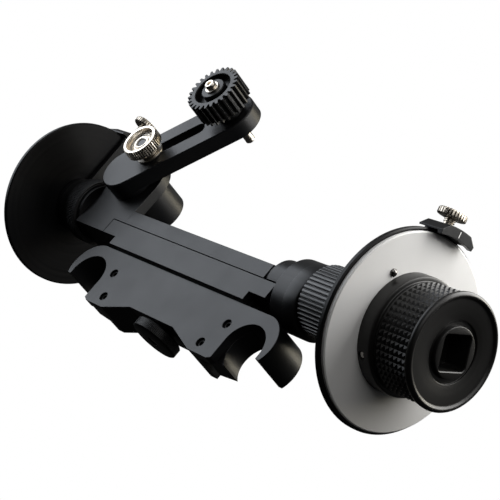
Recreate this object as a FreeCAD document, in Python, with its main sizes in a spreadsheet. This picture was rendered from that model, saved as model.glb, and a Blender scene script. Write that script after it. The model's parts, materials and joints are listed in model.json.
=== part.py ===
import FreeCAD, Part
import math
import os
import re
import Sketcher

# Follow focus unit for a camera rod rig, in millimetres.
# Origin: midway between the axes of the two rods that carry the unit, in the
# middle of its bracket. The sizes below are measured from the main shaft's axis
# and the middle of the front plate.
# +X runs along the main shaft to the right-hand knob, +Y from the operator
# side to the back, along the camera rods, and +Z up, from the rods to the arm.

SIZES = (
    # camera rods and the bracket that hangs on them
    ("rod_dia", 19.0, "studio rod diameter"),
    ("rod_fit", 0.15, "radial play of a rod in its notch"),
    ("rod_pitch", 104.0, "rod centre to rod centre"),
    ("rod_drop", 30.5, "rod centres below the main shaft"),
    ("bracket_shift", 7.75, "bracket middle to front plate middle"),
    ("bracket_front", 7.25, "bracket front face ahead of the shaft"),
    ("bracket_depth", 16.5, "bracket depth along the rods"),
    ("bracket_top", 15.6, "bracket top below the shaft"),
    ("bracket_foot", 39.9, "bracket foot below the shaft"),
    ("hook_round", 11.45, "outer radius of the hooks"),
    ("hook_out", 1.5, "hook arc centre outside the rod centre"),
    ("hook_lift", 3.5, "hook arc centre above the rod centre"),
    ("hook_tip", 2.0, "hook tip below the rod centre"),
    ("bay_half", 14.5, "half width of the knob bay's roof"),
    ("bay_mouth", 29.2, "half width of the knob bay's mouth"),
    ("bay_roof", 34.9, "knob bay roof below the shaft"),
    ("foot_bevel", 2.0, "bevel at the outer edge of each foot"),
    ("pin_high_out", 37.55, "upper screw out from the bracket middle"),
    ("pin_high_drop", 25.1, "upper screw below the shaft"),
    ("pin_low_out", 32.55, "lower screw out from the bracket middle"),
    ("pin_low_drop", 35.5, "lower screw below the shaft"),
    ("pin_bore", 3.9, "screw hole diameter"),
    ("pin_sink", 0.9, "screw head below the bracket face"),
    ("pin_length", 2.5, "screw length"),
    # rod clamp: knob, screw and the two jaws it spreads
    ("clamp_rim", 9.9, "clamp knob radius"),
    ("clamp_thick", 3.7, "clamp knob thickness"),
    ("clamp_gap", 2.0, "clamp knob below the bay roof"),
    ("clamp_hub", 5.0, "radius of the clamp knob's hub"),
    ("clamp_ribs", 40.0, "grip ribs on the clamp knob"),
    ("rib_sink", 0.45, "depth of the grip ribs"),
    ("screw_half", 2.5, "clamp screw radius"),
    ("lip_wall", 3.85, "bracket wall in front of the jaws"),
    ("jaw_from", 33.2, "inner end of the jaw channels"),
    ("jaw_roof", 22.3, "roof of the jaw channels below the shaft"),
    ("jaw_travel", 3.4, "how far a jaw draws back"),
    ("jaw_gap", 0.2, "sliding gap round a jaw"),
    ("jaw_deep", 9.6, "jaw depth along the rods"),
    ("jaw_lip", 37.8, "jaw's lip below the shaft"),
    ("jaw_heel", 39.0, "jaw's heel below the shaft"),
    ("stem_half", 2.5, "jaw stem radius"),
    ("stem_drop", 27.2, "jaw stems below the shaft"),
    ("wedge_half", 8.8, "wedge half width at the stems"),
    ("wedge_top", 2.3, "wedge top above the stems"),
    ("wedge_low", 2.2, "wedge underside below the stems"),
    ("wedge_thick", 7.0, "wedge thickness along the rods"),
    # main body
    ("plate_front", 8.67, "front faces ahead of the shaft"),
    ("plate_thick", 4.37, "thickness of the front plates"),
    ("plate_half", 54.0, "half length of the front plate"),
    ("plate_top", 3.83, "front plate's seat below the shaft"),
    ("plate_seam", 0.35, "seam above the front plate"),
    ("bar_low", 10.9, "bar underside below the shaft"),
    ("tab_half", 44.7, "half length of the front plate's tab"),
    ("tab_low", 14.6, "front plate's tab below the shaft"),
    ("bar_back", 8.67, "bar back face behind the shaft"),
    ("bar_brow", 2.4, "front top edge above the shaft"),
    ("bar_top", 5.8, "bar top above the shaft"),
    ("brow_run", 7.67, "depth of the bar's sloping brow"),
    ("strip_end", 46.0, "right end of the upper strip"),
    ("neck_half", 9.8, "radius of the right neck"),
    ("boss_start", 58.2, "right boss, inner end"),
    ("boss_end", 65.5, "right boss, outer end"),
    ("boss_half", 12.8, "right boss radius"),
    ("boss_sag", 2.6, "boss's lower lobe below the shaft"),
    ("boss_rise", 0.4, "boss's upper lobe below the shaft"),
    ("collar_half", 10.8, "collar between the boss and the pointer hub"),
    ("collar_end", 70.6, "outer end of that collar"),
    ("boss_left_half", 12.2, "left boss radius"),
    ("boss_left_long", 1.6, "left boss length"),
    ("sleeve_half", 9.2, "radius of the fixed sleeves"),
    ("sleeve_short", 1.2, "sleeve end short of the wheel"),
    ("stop_long", 6.0, "length of the stop screw in the rail"),
    ("stop_out", 1.6, "stop screw beyond the rail's end"),
    # bearings and shaft
    ("shaft_half", 4.0, "main shaft radius"),
    ("run_play", 0.05, "radial play of running fits"),
    ("seat_play", 0.02, "radial play of pressed seats"),
    ("bush_half", 6.0, "bush outer radius"),
    ("bush_long", 12.0, "bush length"),
    # gearbox and its swing axis
    ("pivot_across", 60.6, "swing axis left of the origin"),
    ("pivot_up", 15.0, "swing axis above the shaft"),
    ("tower_half", 14.8, "gearbox half width and top radius"),
    ("drum_half", 11.0, "gear drum radius"),
    ("drum_end", 11.8, "gear drum rear face behind the shaft"),
    ("cover_half", 9.2, "drum cover radius"),
    ("cover_thick", 1.2, "drum cover thickness"),
    ("output_half", 3.0, "output shaft radius"),
    ("output_into", 3.0, "output shaft into the arm"),
    ("ring_half", 10.1, "pivot ring radius"),
    ("ring_hole", 7.0, "pivot ring bore radius"),
    # swing arm
    ("arm_angle", 49.6, "arm above the horizontal, degrees"),
    ("arm_run", 51.5, "swing axis to gear axis"),
    ("arm_half", 10.2, "arm half width"),
    ("arm_front", 17.8, "arm front face ahead of the shaft"),
    ("arm_thick", 6.8, "arm thickness"),
    ("arm_bevel", 0.5, "bevel round the arm's front"),
    ("slot_half", 2.9, "arm slot half width"),
    ("slot_from", 18.5, "slot's inner end centre from the swing axis"),
    ("slot_to", 36.5, "slot's outer end centre from the swing axis"),
    ("turn_gap", 0.2, "gap between faces that turn on each other"),
    # lock knob
    ("lock_run", 13.4, "lock knob from the swing axis"),
    ("lock_front", 26.35, "lock knob face ahead of the shaft"),
    ("lock_half", 8.0, "lock knob radius"),
    ("lock_thick", 4.75, "lock knob grip thickness"),
    ("lock_cup", 6.2, "radius of the cup in its face"),
    ("lock_step", 4.3, "radius of the step in the cup"),
    ("lock_well", 2.6, "depth of the cup"),
    ("lock_hub", 5.0, "lock knob hub radius"),
    ("stud_half", 2.0, "lock stud radius"),
    ("stud_head", 3.1, "radius of the stud's head behind the arm"),
    ("stud_flat", 1.6, "thickness of the stud's head"),
    ("washer_half", 6.0, "lock washer radius"),
    ("washer_thick", 0.9, "lock washer thickness"),
    # drive gear, 0.8 module lens gear
    ("gear_teeth", 27.0, "teeth"),
    ("gear_pitch", 0.8, "module"),
    ("gear_front", 31.9, "gear face ahead of the shaft"),
    ("gear_wide", 9.7, "gear width"),
    ("gear_groove_out", 8.0, "groove outer radius"),
    ("gear_groove_in", 5.2, "groove inner radius"),
    ("gear_groove_deep", 3.2, "groove depth"),
    ("axle_half", 2.0, "gear axle radius"),
    ("axle_out", 9.7, "axle behind the arm"),
    ("axle_into", 9.0, "axle into the gear"),
    ("cap_half", 2.2, "gear screw head radius"),
    ("cap_tall", 2.0, "gear screw head height"),
    ("cap_hex", 2.0, "gear screw socket across flats"),
    ("shim_half", 3.0, "gear washer radius"),
    ("shim_thick", 0.7, "gear washer thickness"),
    ("collar_round", 6.0, "radius of the collar behind the gear"),
    # wheels with their marking discs
    ("wheel_right", 107.8, "right wheel's inner face"),
    ("wheel_left", 95.9, "left wheel's inner face, to the left"),
    ("wheel_half", 35.6, "wheel radius"),
    ("wheel_thick", 2.3, "wheel rim thickness"),
    ("wheel_bevel", 0.5, "wheel rim bevel"),
    ("disc_edge", 1.1, "marking disc's rim inside the wheel's"),
    ("disc_thick", 1.5, "marking disc thickness"),
    ("dot_run", 22.9, "index pin from the axis"),
    ("dot_half", 1.4, "index pin radius"),
    ("dot_tall", 1.1, "index pin above the disc"),
    # knobs
    ("flange_half", 20.7, "knob flange radius"),
    ("flange_long", 6.1, "knob flange length"),
    ("grip_half", 19.4, "knob grip radius"),
    ("grip_neck", 19.0, "radius of the smooth necks beside the knurl"),
    ("grip_step", 1.3, "neck between the flange and the knurl"),
    ("lip_half", 20.1, "knob front lip radius"),
    ("lip_long", 2.3, "knob front lip length"),
    ("knob_long", 27.4, "knob front from the wheel's inner face"),
    ("face_half", 17.8, "radius inside the lip"),
    ("face_sink", 0.9, "knob face below the lip"),
    ("moat_half", 10.6, "outer radius of the moat round the boss"),
    ("moat_sink", 0.8, "moat depth below the knob face"),
    ("nose_half", 9.0, "centre boss radius"),
    ("nose_long", 10.6, "centre boss length"),
    ("socket_side", 12.2, "side of the square socket"),
    ("socket_reach", 8.0, "reach of the square socket's cut-off corners"),
    ("socket_deep", 9.4, "depth of the square socket"),
    ("shaft_into", 16.5, "shaft end from the wheel's inner face"),
    ("grub_half", 1.5, "set screw radius"),
    ("grub_long", 5.0, "set screw length"),
    # pointers
    ("hub_half", 13.8, "right pointer hub radius"),
    ("hub_start", 71.7, "right pointer hub, inner end"),
    ("hub_ribs_long", 20.0, "length of the ribbed grip"),
    ("hub_ribs", 50.0, "ribs on the pointer hub"),
    ("hub_rib_deep", 0.7, "depth of the hub ribs"),
    ("hub_left_half", 13.4, "left pointer hub radius"),
    ("hub_left_start", 77.4, "left pointer hub, inner end, to the left"),
    ("hub_left_long", 9.0, "length of the left grip"),
    ("hub_neck", 11.6, "radius of the pointer hubs' necks"),
    ("web_thick", 2.2, "pointer web thickness"),
    ("web_gap", 0.7, "pointer web clear of the wheel"),
    ("web_half", 5.5, "pointer web half width"),
    ("bridge_gap", 0.4, "bridge underside clear of the wheel's rim"),
    ("bridge_thick", 2.6, "bridge thickness"),
    ("bridge_end", 8.1, "bridge end beyond the wheel's inner face"),
    ("index_drop", 1.0, "index piece below the bridge"),
    ("index_thick", 2.0, "index piece thickness"),
    ("bridge_span", 27.0, "bridge span, degrees"),
    ("bridge_turn", 5.5, "bevel at each end of the bridge, degrees"),
    ("bridge_edge", 0.6, "thickness left at the bridge's bevelled ends"),
    ("point_right", 19.6, "right pointer towards the operator, degrees"),
    ("point_left", 1.4, "left pointer towards the operator, degrees"),
    # thumbscrews on the pointers
    ("thumb_half", 5.2, "thumbscrew head radius"),
    ("thumb_seat", 1.2, "thumbscrews outwards from the wheel's inner face"),
    ("thumb_right", 2.7, "right thumbscrew head above the bridge"),
    ("thumb_left", 6.8, "left thumbscrew head above the bridge"),
    ("thumb_tall", 2.6, "thumbscrew head thickness"),
    ("thumb_stem", 1.6, "thumbscrew stem radius"),
    ("thumb_collar", 2.4, "thumbscrew collar radius"),
    ("thumb_long_right", 5.4, "right thumbscrew below its head"),
    ("thumb_long_left", 8.6, "left thumbscrew below its head"),
)

doc = FreeCAD.newDocument("follow_focus")
sheet = doc.addObject("Spreadsheet::Sheet", "Sizes")
for row, (alias, value, meaning) in enumerate(SIZES, 1):
    sheet.set("A%d" % row, meaning)
    sheet.set("B%d" % row, str(value))
    sheet.setAlias("B%d" % row, alias)
doc.recompute()

middle = "(bracket_depth / 2 - bracket_front)"
NAMES = re.compile(r"\b[a-z]+(?:_[a-z]+)+\b")
parts = []


def bound(text):
    """An expression with each size read from the sheet."""
    return NAMES.sub(lambda found: "Sizes." + found.group(0), text)


def number(text):
    """The present value of an expression, in plain numbers."""
    value = sheet.evalExpression(bound(text))
    return float(getattr(value, "Value", value))


def bind(item, prop, text):
    item.setExpression(prop, bound(text))


def plane(body, role):
    return [f for f in body.Origin.OriginFeatures if f.Role == role][0]


def piece(label, across="0", along="0", up="0", axis=None, angle=""):
    """A new sub-part at a point measured from the main shaft, turned about one axis."""
    body = doc.addObject("PartDesign::Body", label)
    body.Label = label
    if axis:
        body.Placement = FreeCAD.Placement(FreeCAD.Vector(), FreeCAD.Rotation(FreeCAD.Vector(*axis), 30))
        bind(body, "Placement.Rotation.Angle", angle)
    bind(body, "Placement.Base.x", across + " - bracket_shift")
    bind(body, "Placement.Base.y", along + " - " + middle)
    bind(body, "Placement.Base.z", up + " + rod_drop")
    parts.append(body)
    return body


def sketch(body, role, name, offset):
    item = body.newObject("Sketcher::SketchObject", name)
    item.AttachmentSupport = [(plane(body, role), "")]
    item.MapMode = "FlatFace"
    if offset:
        sign = "-1 * " if role == "XZ_Plane" else ""
        bind(item, "AttachmentOffset.Base.z", "%s(%s)" % (sign, offset))
    return item


def pin_point(item, which, spot, point):
    """Tie one sketch point to its two coordinates."""
    for kind, text, axis in (("DistanceX", point[0], -2), ("DistanceY", point[1], -1)):
        if text == "0":
            item.addConstraint(Sketcher.Constraint("PointOnObject", which, spot, axis))
            continue
        index = item.addConstraint(Sketcher.Constraint(kind, -1, 1, which, spot, number(text)))
        bind(item, "Constraints[%d]" % index, text)


def outline(body, role, name, points, offset=""):
    """A closed outline of straight edges, each corner set from the sheet."""
    item = sketch(body, role, name, offset)
    spots = [FreeCAD.Vector(number(u), number(v), 0) for u, v in points]
    count = len(spots)
    for i in range(count):
        item.addGeometry(Part.LineSegment(spots[i], spots[(i + 1) % count]), False)
    for i in range(count):
        item.addConstraint(Sketcher.Constraint("Coincident", i, 2, (i + 1) % count, 1))
    for i, point in enumerate(points):
        pin_point(item, i, 1, point)
    return item


def circles(body, role, name, rounds, offset=""):
    """Circles given as centre and radius."""
    item = sketch(body, role, name, offset)
    for i, (u, v, radius) in enumerate(rounds):
        centre = FreeCAD.Vector(number(u), number(v), 0)
        item.addGeometry(Part.Circle(centre, FreeCAD.Vector(0, 0, 1), number(radius)), False)
        index = item.addConstraint(Sketcher.Constraint("Radius", i, number(radius)))
        bind(item, "Constraints[%d]" % index, radius)
        pin_point(item, i, 3, (u, v))
    return item


def stadium(body, role, name, start, end, radius, offset=""):
    """A slot outline along the sketch's first axis, from one end centre to the other."""
    item = sketch(body, role, name, offset)
    near, far, half = number(start), number(end), number(radius)
    up = FreeCAD.Vector(0, 0, 1)
    left = Part.Circle(FreeCAD.Vector(near, 0, 0), up, half)
    right = Part.Circle(FreeCAD.Vector(far, 0, 0), up, half)
    item.addGeometry(Part.ArcOfCircle(left, math.pi / 2, math.pi * 1.5), False)
    item.addGeometry(Part.ArcOfCircle(right, -math.pi / 2, math.pi / 2), False)
    item.addGeometry(Part.LineSegment(FreeCAD.Vector(near, -half, 0), FreeCAD.Vector(far, -half, 0)), False)
    item.addGeometry(Part.LineSegment(FreeCAD.Vector(far, half, 0), FreeCAD.Vector(near, half, 0)), False)
    for a, b, c, d in ((0, 2, 2, 1), (2, 2, 1, 1), (1, 2, 3, 1), (3, 2, 0, 1)):
        item.addConstraint(Sketcher.Constraint("Tangent", a, b, c, d))
    item.addConstraint(Sketcher.Constraint("Equal", 0, 1))
    index = item.addConstraint(Sketcher.Constraint("Radius", 0, half))
    bind(item, "Constraints[%d]" % index, radius)
    pin_point(item, 0, 3, (start, "0"))
    pin_point(item, 1, 3, (end, "0"))
    return item


def pad(body, name, profile, length, role):
    item = body.newObject("PartDesign::Pad", name)
    item.Profile = profile
    bind(item, "Length", length)
    item.Reversed = role == "XZ_Plane"
    body.Tip = item
    return item


def pocket(body, name, profile, length, role):
    doc.recompute()
    item = body.newObject("PartDesign::Pocket", name)
    item.Profile = profile
    bind(item, "Length", length)
    item.Reversed = role != "XZ_Plane"
    body.Tip = item
    return item


def solid(body, name, role, shape, start, length):
    """Extrude an outline or circles towards the plane's positive axis."""
    make = circles if len(shape[0]) == 3 else outline
    return pad(body, name, make(body, role, name + "_sketch", shape, start), length, role)


def cut(body, name, role, shape, start, length):
    """Cut an outline or circles towards the plane's positive axis."""
    make = circles if len(shape[0]) == 3 else outline
    return pocket(body, name, make(body, role, name + "_sketch", shape, start), length, role)


TURN = {"X": ("XZ_Plane", "H_Axis"), "Y": ("YZ_Plane", "H_Axis"), "Z": ("XZ_Plane", "V_Axis")}


def turned(body, name, axis, points, groove=False, angle=""):
    """Revolve an outline about the body's X, Y or Z axis."""
    role, line = TURN[axis]
    profile = outline(body, role, name + "_sketch", points)
    if groove:
        doc.recompute()
    item = body.newObject("PartDesign::Groove" if groove else "PartDesign::Revolution", name)
    item.Profile = profile
    item.ReferenceAxis = (profile, [line])
    item.Angle = 360
    if angle:
        item.Midplane = True
        bind(item, "Angle", angle)
    body.Tip = item
    return item


def around(body, name, feature, axis, count):
    """Repeat a feature all the way round an axis."""
    item = body.newObject("PartDesign::PolarPattern", name)
    item.Originals = [feature]
    item.Axis = (plane(body, axis + "_Axis"), [""])
    item.Angle = 360
    bind(item, "Occurrences", count)
    body.Tip = item
    return item


def ribbed(body, name, axis, radius, start, length, count, depth):
    """Cut one V rib groove on a round grip and repeat it."""
    role = {"X": "YZ_Plane", "Y": "XZ_Plane", "Z": "XY_Plane"}[axis]
    half = "(%s) * 2.2 / (%s)" % (radius, count)
    shape = (
        ("-(%s)" % half, "(%s) + 0.3" % radius),
        ("0", "(%s) - (%s)" % (radius, depth)),
        (half, "(%s) + 0.3" % radius),
    )
    first = cut(body, name + "_first", role, shape, start, length)
    return around(body, name, first, axis, count)


# ---------------------------------------------------------------- rod bracket
bracket = piece("rod_bracket", across="bracket_shift")
rod_out = "rod_pitch / 2"
notch = "rod_dia / 2 + rod_fit"
wall = "rod_pitch / 2 - rod_dia / 2 - rod_fit"
front = "-bracket_front"
solid(bracket, "bridge", "XZ_Plane", (
    ("-(%s + hook_out)" % rod_out, "-bracket_top"),
    ("%s + hook_out" % rod_out, "-bracket_top"),
    ("%s + hook_out" % rod_out, "-(rod_drop - hook_lift)"),
    (wall, "-(rod_drop - hook_lift)"),
    (wall, "-(bracket_foot - foot_bevel / 2)"),
    ("%s - foot_bevel" % wall, "-bracket_foot"),
    ("bay_mouth", "-bracket_foot"),
    ("bay_half", "-bay_roof"),
    ("-bay_half", "-bay_roof"),
    ("-bay_mouth", "-bracket_foot"),
    ("-(%s - foot_bevel)" % wall, "-bracket_foot"),
    ("-(%s)" % wall, "-(bracket_foot - foot_bevel / 2)"),
    ("-(%s)" % wall, "-(rod_drop - hook_lift)"),
    ("-(%s + hook_out)" % rod_out, "-(rod_drop - hook_lift)"),
), front, "bracket_depth")
for side, sign in (("right", ""), ("left", "-")):
    solid(bracket, "hook_" + side, "XZ_Plane", (
        ("%s(%s + hook_out)" % (sign, rod_out), "-(rod_drop - hook_lift)", "hook_round"),
    ), front, "bracket_depth")
for side, sign in (("right", ""), ("left", "-")):
    cut(bracket, "notch_" + side, "XZ_Plane", (
        ("%s(%s)" % (sign, rod_out), "-rod_drop", notch),
    ), front, "bracket_depth")
    cut(bracket, "mouth_" + side, "XZ_Plane", (
        ("%s(%s)" % (sign, wall), "-rod_drop"),
        ("%s(%s + %s)" % (sign, rod_out, notch), "-rod_drop"),
        ("%s(%s + %s)" % (sign, rod_out, notch), "-(rod_drop + hook_tip)"),
        ("%s(%s + hook_out + hook_round + 1)" % (sign, rod_out), "-(rod_drop + hook_tip)"),
        ("%s(%s + hook_out + hook_round + 1)" % (sign, rod_out), "-(bracket_foot + 5)"),
        ("%s(%s)" % (sign, wall), "-(bracket_foot + 5)"),
    ), front, "bracket_depth")
channel = "lip_wall - bracket_front"
for side, sign in (("right", ""), ("left", "-")):
    cut(bracket, "channel_" + side, "XZ_Plane", (
        ("%sjaw_from" % sign, "-jaw_roof"),
        ("%s(%s)" % (sign, rod_out), "-jaw_roof"),
        ("%s(%s)" % (sign, rod_out), "-(bracket_foot + 5)"),
        ("%sjaw_from" % sign, "-(bracket_foot + 5)"),
    ), channel, "bracket_depth - lip_wall")
cut(bracket, "stem_bore", "YZ_Plane", (
    (middle, "-stem_drop", "stem_half + run_play"),
), "-(jaw_from + 1)", "2 * (jaw_from + 1)")
wedge_wide = "(wedge_half + wedge_low)"
cut(bracket, "wedge_room", "XZ_Plane", (
    ("-(%s + 2 * jaw_gap)" % wedge_wide, "-(stem_drop + wedge_low + jaw_travel + jaw_gap)"),
    ("%s + 2 * jaw_gap" % wedge_wide, "-(stem_drop + wedge_low + jaw_travel + jaw_gap)"),
    ("%s + 2 * jaw_gap" % wedge_wide, "-(stem_drop - stem_half - 2 * jaw_gap)"),
    ("-(%s + 2 * jaw_gap)" % wedge_wide, "-(stem_drop - stem_half - 2 * jaw_gap)"),
), "%s - wedge_thick / 2 - jaw_gap" % middle, "wedge_thick + 2 * jaw_gap")
cut(bracket, "screw_bore", "XY_Plane", (
    ("0", middle, "screw_half + run_play"),
), "-bay_roof", "bay_roof - stem_drop + stem_half")
spots = (
    ("pin_high_out", "-pin_high_drop"),
    ("-pin_high_out", "-pin_high_drop"),
    ("pin_low_out", "-pin_low_drop"),
    ("-pin_low_out", "-pin_low_drop"),
)
cut(bracket, "screw_holes", "XZ_Plane", tuple((u, v, "pin_bore / 2") for u, v in spots),
    front, "pin_sink + pin_length")

for number_of, (u, v) in enumerate(spots, 1):
    grub = piece("bracket_screw_%d" % number_of, across="bracket_shift + (%s)" % u, along="pin_sink - bracket_front", up=v)
    turned(grub, "screw", "Y", (
        ("0", "0"),
        ("pin_length", "0"),
        ("pin_length", "pin_bore / 2 - seat_play"),
        ("0.3", "pin_bore / 2 - seat_play"),
        ("0", "pin_bore / 2 - 0.3"),
    ))
    cut(grub, "socket", "XZ_Plane", (("0", "0", "pin_bore / 4"),), "", "pin_sink * 2")

# ------------------------------------------------------------ rod clamp drive
clamp = piece("clamp_knob", across="bracket_shift", along=middle, up="-(bay_roof + clamp_gap + clamp_thick)")
turned(clamp, "grip", "Z", (
    ("screw_half + seat_play", "0"),
    ("clamp_rim - 0.6", "0"),
    ("clamp_rim", "0.6"),
    ("clamp_rim", "clamp_thick - 0.6"),
    ("clamp_rim - 0.6", "clamp_thick"),
    ("clamp_hub", "clamp_thick"),
    ("clamp_hub", "clamp_thick + clamp_gap - turn_gap"),
    ("screw_half + seat_play", "clamp_thick + clamp_gap - turn_gap"),
))
ribbed(clamp, "ribs", "Z", "clamp_rim", "-0.1", "clamp_thick + 0.2", "clamp_ribs", "rib_sink")

spindle = piece("clamp_screw", across="bracket_shift", along=middle, up="-(bay_roof + clamp_gap + clamp_thick)")
tip = "bay_roof + clamp_gap + clamp_thick - stem_drop + wedge_top"
turned(spindle, "screw", "Z", (
    ("0", "0.4"),
    ("screw_half - 0.4", "0.4"),
    ("screw_half", "0.8"),
    ("screw_half", "%s - 0.4" % tip),
    ("screw_half - 0.4", tip),
    ("0", tip),
))

wedge = piece("clamp_wedge", "bracket_shift", middle, "-stem_drop")
solid(wedge, "wedge", "XZ_Plane", (
    ("-%s" % wedge_wide, "-wedge_low"),
    (wedge_wide, "-wedge_low"),
    ("wedge_half - wedge_top", "wedge_top"),
    ("-(wedge_half - wedge_top)", "wedge_top"),
), "-wedge_thick / 2", "wedge_thick")
cut(wedge, "thread", "XY_Plane", (
    ("0", "0", "screw_half + run_play"),
), "-wedge_low", "wedge_low + wedge_top")

for side, sign in (("right", ""), ("left", "-")):
    jaw = piece("clamp_jaw_" + side, "bracket_shift", middle, "-stem_drop")
    heel = "jaw_from + jaw_travel + jaw_gap"
    solid(jaw, "block", "XZ_Plane", (
        ("%s(%s)" % (sign, heel), "stem_drop - jaw_roof - jaw_gap"),
        ("%s(%s)" % (sign, rod_out), "stem_drop - jaw_roof - jaw_gap"),
        ("%s(%s)" % (sign, rod_out), "stem_drop - jaw_lip"),
        ("%s(%s)" % (sign, heel), "stem_drop - jaw_heel"),
    ), "%s + jaw_gap - %s" % (channel, middle), "jaw_deep")
    start = "wedge_half - stem_half + jaw_gap"
    solid(jaw, "stem", "YZ_Plane", (
        ("0", "0", "stem_half"),
    ), start if not sign else "-(%s)" % heel, "%s - (%s)" % (heel, start))
    cut(jaw, "ramp", "XZ_Plane", (
        ("%s(wedge_half - stem_half + jaw_gap - 1)" % sign, "stem_half + 1"),
        ("%s(wedge_half + stem_half + jaw_gap + 1)" % sign, "-(stem_half + 1)"),
        ("%s(wedge_half - stem_half + jaw_gap - 1)" % sign, "-(stem_half + 1)"),
    ), "-(stem_half + 1)", "2 * (stem_half + 1)")
    cut(jaw, "grip", "XZ_Plane", (
        ("%s(%s)" % (sign, rod_out), "stem_drop - rod_drop", notch),
    ), "-(%s)" % "bracket_depth", "2 * bracket_depth")

# ------------------------------------------------------------------ main body
left_end = "-(pivot_across + tower_half)"
core_front = "-(plate_front - plate_thick)"
brow = "(bar_top - bar_brow)"
core_brow = "bar_brow + %s * plate_thick / brow_run" % brow
housing = piece("housing")
solid(housing, "core", "YZ_Plane", (
    (core_front, "-bar_low"),
    ("bar_back", "-bar_low"),
    ("bar_back", "bar_top"),
    ("brow_run - plate_front", "bar_top"),
    (core_front, core_brow),
), left_end, "pivot_across + tower_half + plate_half")
solid(housing, "strip", "YZ_Plane", (
    ("-plate_front", "-plate_top"),
    (core_front, "-plate_top"),
    (core_front, core_brow),
    ("-plate_front", "bar_brow"),
), "tower_half - pivot_across", "strip_end - tower_half + pivot_across")
solid(housing, "rail", "YZ_Plane", (
    (core_front, "-bracket_top"),
    ("bar_back - 1", "-bracket_top"),
    ("bar_back - 1", "-bar_low"),
    (core_front, "-bar_low"),
), "-tab_half", "2 * tab_half")
turned(housing, "neck", "X", (
    ("strip_end", "0"),
    ("strip_end", "neck_half - 2.4"),
    ("strip_end + 0.8", "neck_half - 1"),
    ("strip_end + 2.4", "neck_half"),
    ("boss_start", "neck_half"),
    ("boss_start", "0"),
))
for lobe, level in (("upper", "-boss_rise"), ("lower", "-boss_sag")):
    solid(housing, "boss_" + lobe, "YZ_Plane", (("0", level, "boss_half"),), "boss_start", "boss_end - boss_start")
solid(housing, "collar", "YZ_Plane", (("0", "0", "collar_half"),), "boss_end", "collar_end - boss_end")
solid(housing, "boss_left", "YZ_Plane", (
    ("0", "0", "boss_left_half"),
), "%s - boss_left_long" % left_end, "boss_left_long")
solid(housing, "sleeve", "YZ_Plane", (
    ("0", "0", "sleeve_half"),
), "boss_end", "wheel_right - boss_end - sleeve_short")
solid(housing, "sleeve_left", "YZ_Plane", (
    ("0", "0", "sleeve_half"),
), "sleeve_short - wheel_left", "wheel_left - sleeve_short - pivot_across - tower_half - boss_left_long")
cut(housing, "plate_seat", "YZ_Plane", (
    ("-plate_front - 6", "-bar_low - 1"),
    (core_front, "-bar_low - 1"),
    (core_front, "-plate_top"),
    ("-plate_front - 6", "-plate_top"),
), "-plate_half", "2 * plate_half")
cut(housing, "shaft_bore", "YZ_Plane", (
    ("0", "0", "shaft_half + run_play"),
), "-wheel_left", "wheel_left + wheel_right")
cut(housing, "bush_seat_right", "YZ_Plane", (
    ("0", "0", "bush_half + seat_play"),
), "wheel_right - sleeve_short - bush_long", "bush_long")
cut(housing, "bush_seat_left", "YZ_Plane", (
    ("0", "0", "bush_half + seat_play"),
), "sleeve_short - wheel_left", "bush_long")
cut(housing, "stop_hole", "YZ_Plane", (
    ("0", "-(bar_low + 1.9)", "pin_bore / 2"),
), "tab_half - stop_long", "stop_long")

face = piece("front_plate", along="-plate_front")
solid(face, "plate", "XZ_Plane", (
    ("-plate_half", "-(plate_top + plate_seam)"),
    ("-plate_half", "-bar_low"),
    ("-tab_half", "-bar_low"),
    ("-tab_half", "-tab_low"),
    ("tab_half", "-tab_low"),
    ("tab_half", "-bar_low"),
    ("plate_half", "-bar_low"),
    ("plate_half", "-(plate_top + plate_seam)"),
), "", "plate_thick")

stop = piece("stop_screw", across="tab_half - stop_long", up="-(bar_low + 1.9)")
turned(stop, "screw", "X", (
    ("0.2", "0"),
    ("0.2", "pin_bore / 2 - seat_play"),
    ("stop_long + stop_out - 0.3", "pin_bore / 2 - seat_play"),
    ("stop_long + stop_out", "pin_bore / 2 - 0.3"),
    ("stop_long + stop_out", "0"),
))

for side, start in (("right", "wheel_right - sleeve_short - bush_long"), ("left", "sleeve_short - wheel_left")):
    bush = piece("bush_" + side, across=start)
    turned(bush, "bush", "X", (
        ("0.1", "shaft_half + run_play"),
        ("bush_long", "shaft_half + run_play"),
        ("bush_long", "bush_half"),
        ("0.1", "bush_half"),
    ))

# -------------------------------------------------- gearbox and output shaft
gearbox = piece("gearbox_housing", across="-pivot_across", up="pivot_up")
solid(gearbox, "tower", "XZ_Plane", (
    ("-tower_half", "0"),
    ("-tower_half", "-(pivot_up + bar_low)"),
    ("pivot_across - plate_half", "-(pivot_up + bar_low)"),
    ("pivot_across - plate_half", "-(pivot_up + plate_top)"),
    ("tower_half", "-(pivot_up + plate_top)"),
    ("tower_half", "0"),
), "-plate_front", "plate_thick")
solid(gearbox, "crown", "XZ_Plane", (("0", "0", "tower_half"),), "-plate_front", "plate_thick")
solid(gearbox, "drum", "XZ_Plane", (("0", "0", "drum_half"),), core_front, "drum_end + plate_front - plate_thick")
cut(gearbox, "bar_clear", "YZ_Plane", (
    (core_front, "-(pivot_up + bar_low + 1)"),
    ("drum_end + 1", "-(pivot_up + bar_low + 1)"),
    ("drum_end + 1", "bar_top - pivot_up"),
    ("brow_run - plate_front", "bar_top - pivot_up"),
    (core_front, "%s - pivot_up" % core_brow),
), "-tower_half - 1", "2 * tower_half + 2")
cut(gearbox, "output_bore", "XZ_Plane", (
    ("0", "0", "output_half + run_play"),
), "-plate_front", "plate_front + drum_end - cover_thick - 1")
cut(gearbox, "cover_seat", "XZ_Plane", (
    ("0", "0", "cover_half + seat_play"),
), "drum_end - cover_thick", "cover_thick")

cover = piece("drum_cover", across="-pivot_across", along="drum_end - cover_thick", up="pivot_up")
turned(cover, "cover", "Y", (
    ("0", "0"),
    ("cover_thick", "0"),
    ("cover_thick", "cover_half - 0.4"),
    ("cover_thick - 0.4", "cover_half"),
    ("0", "cover_half"),
))

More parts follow.
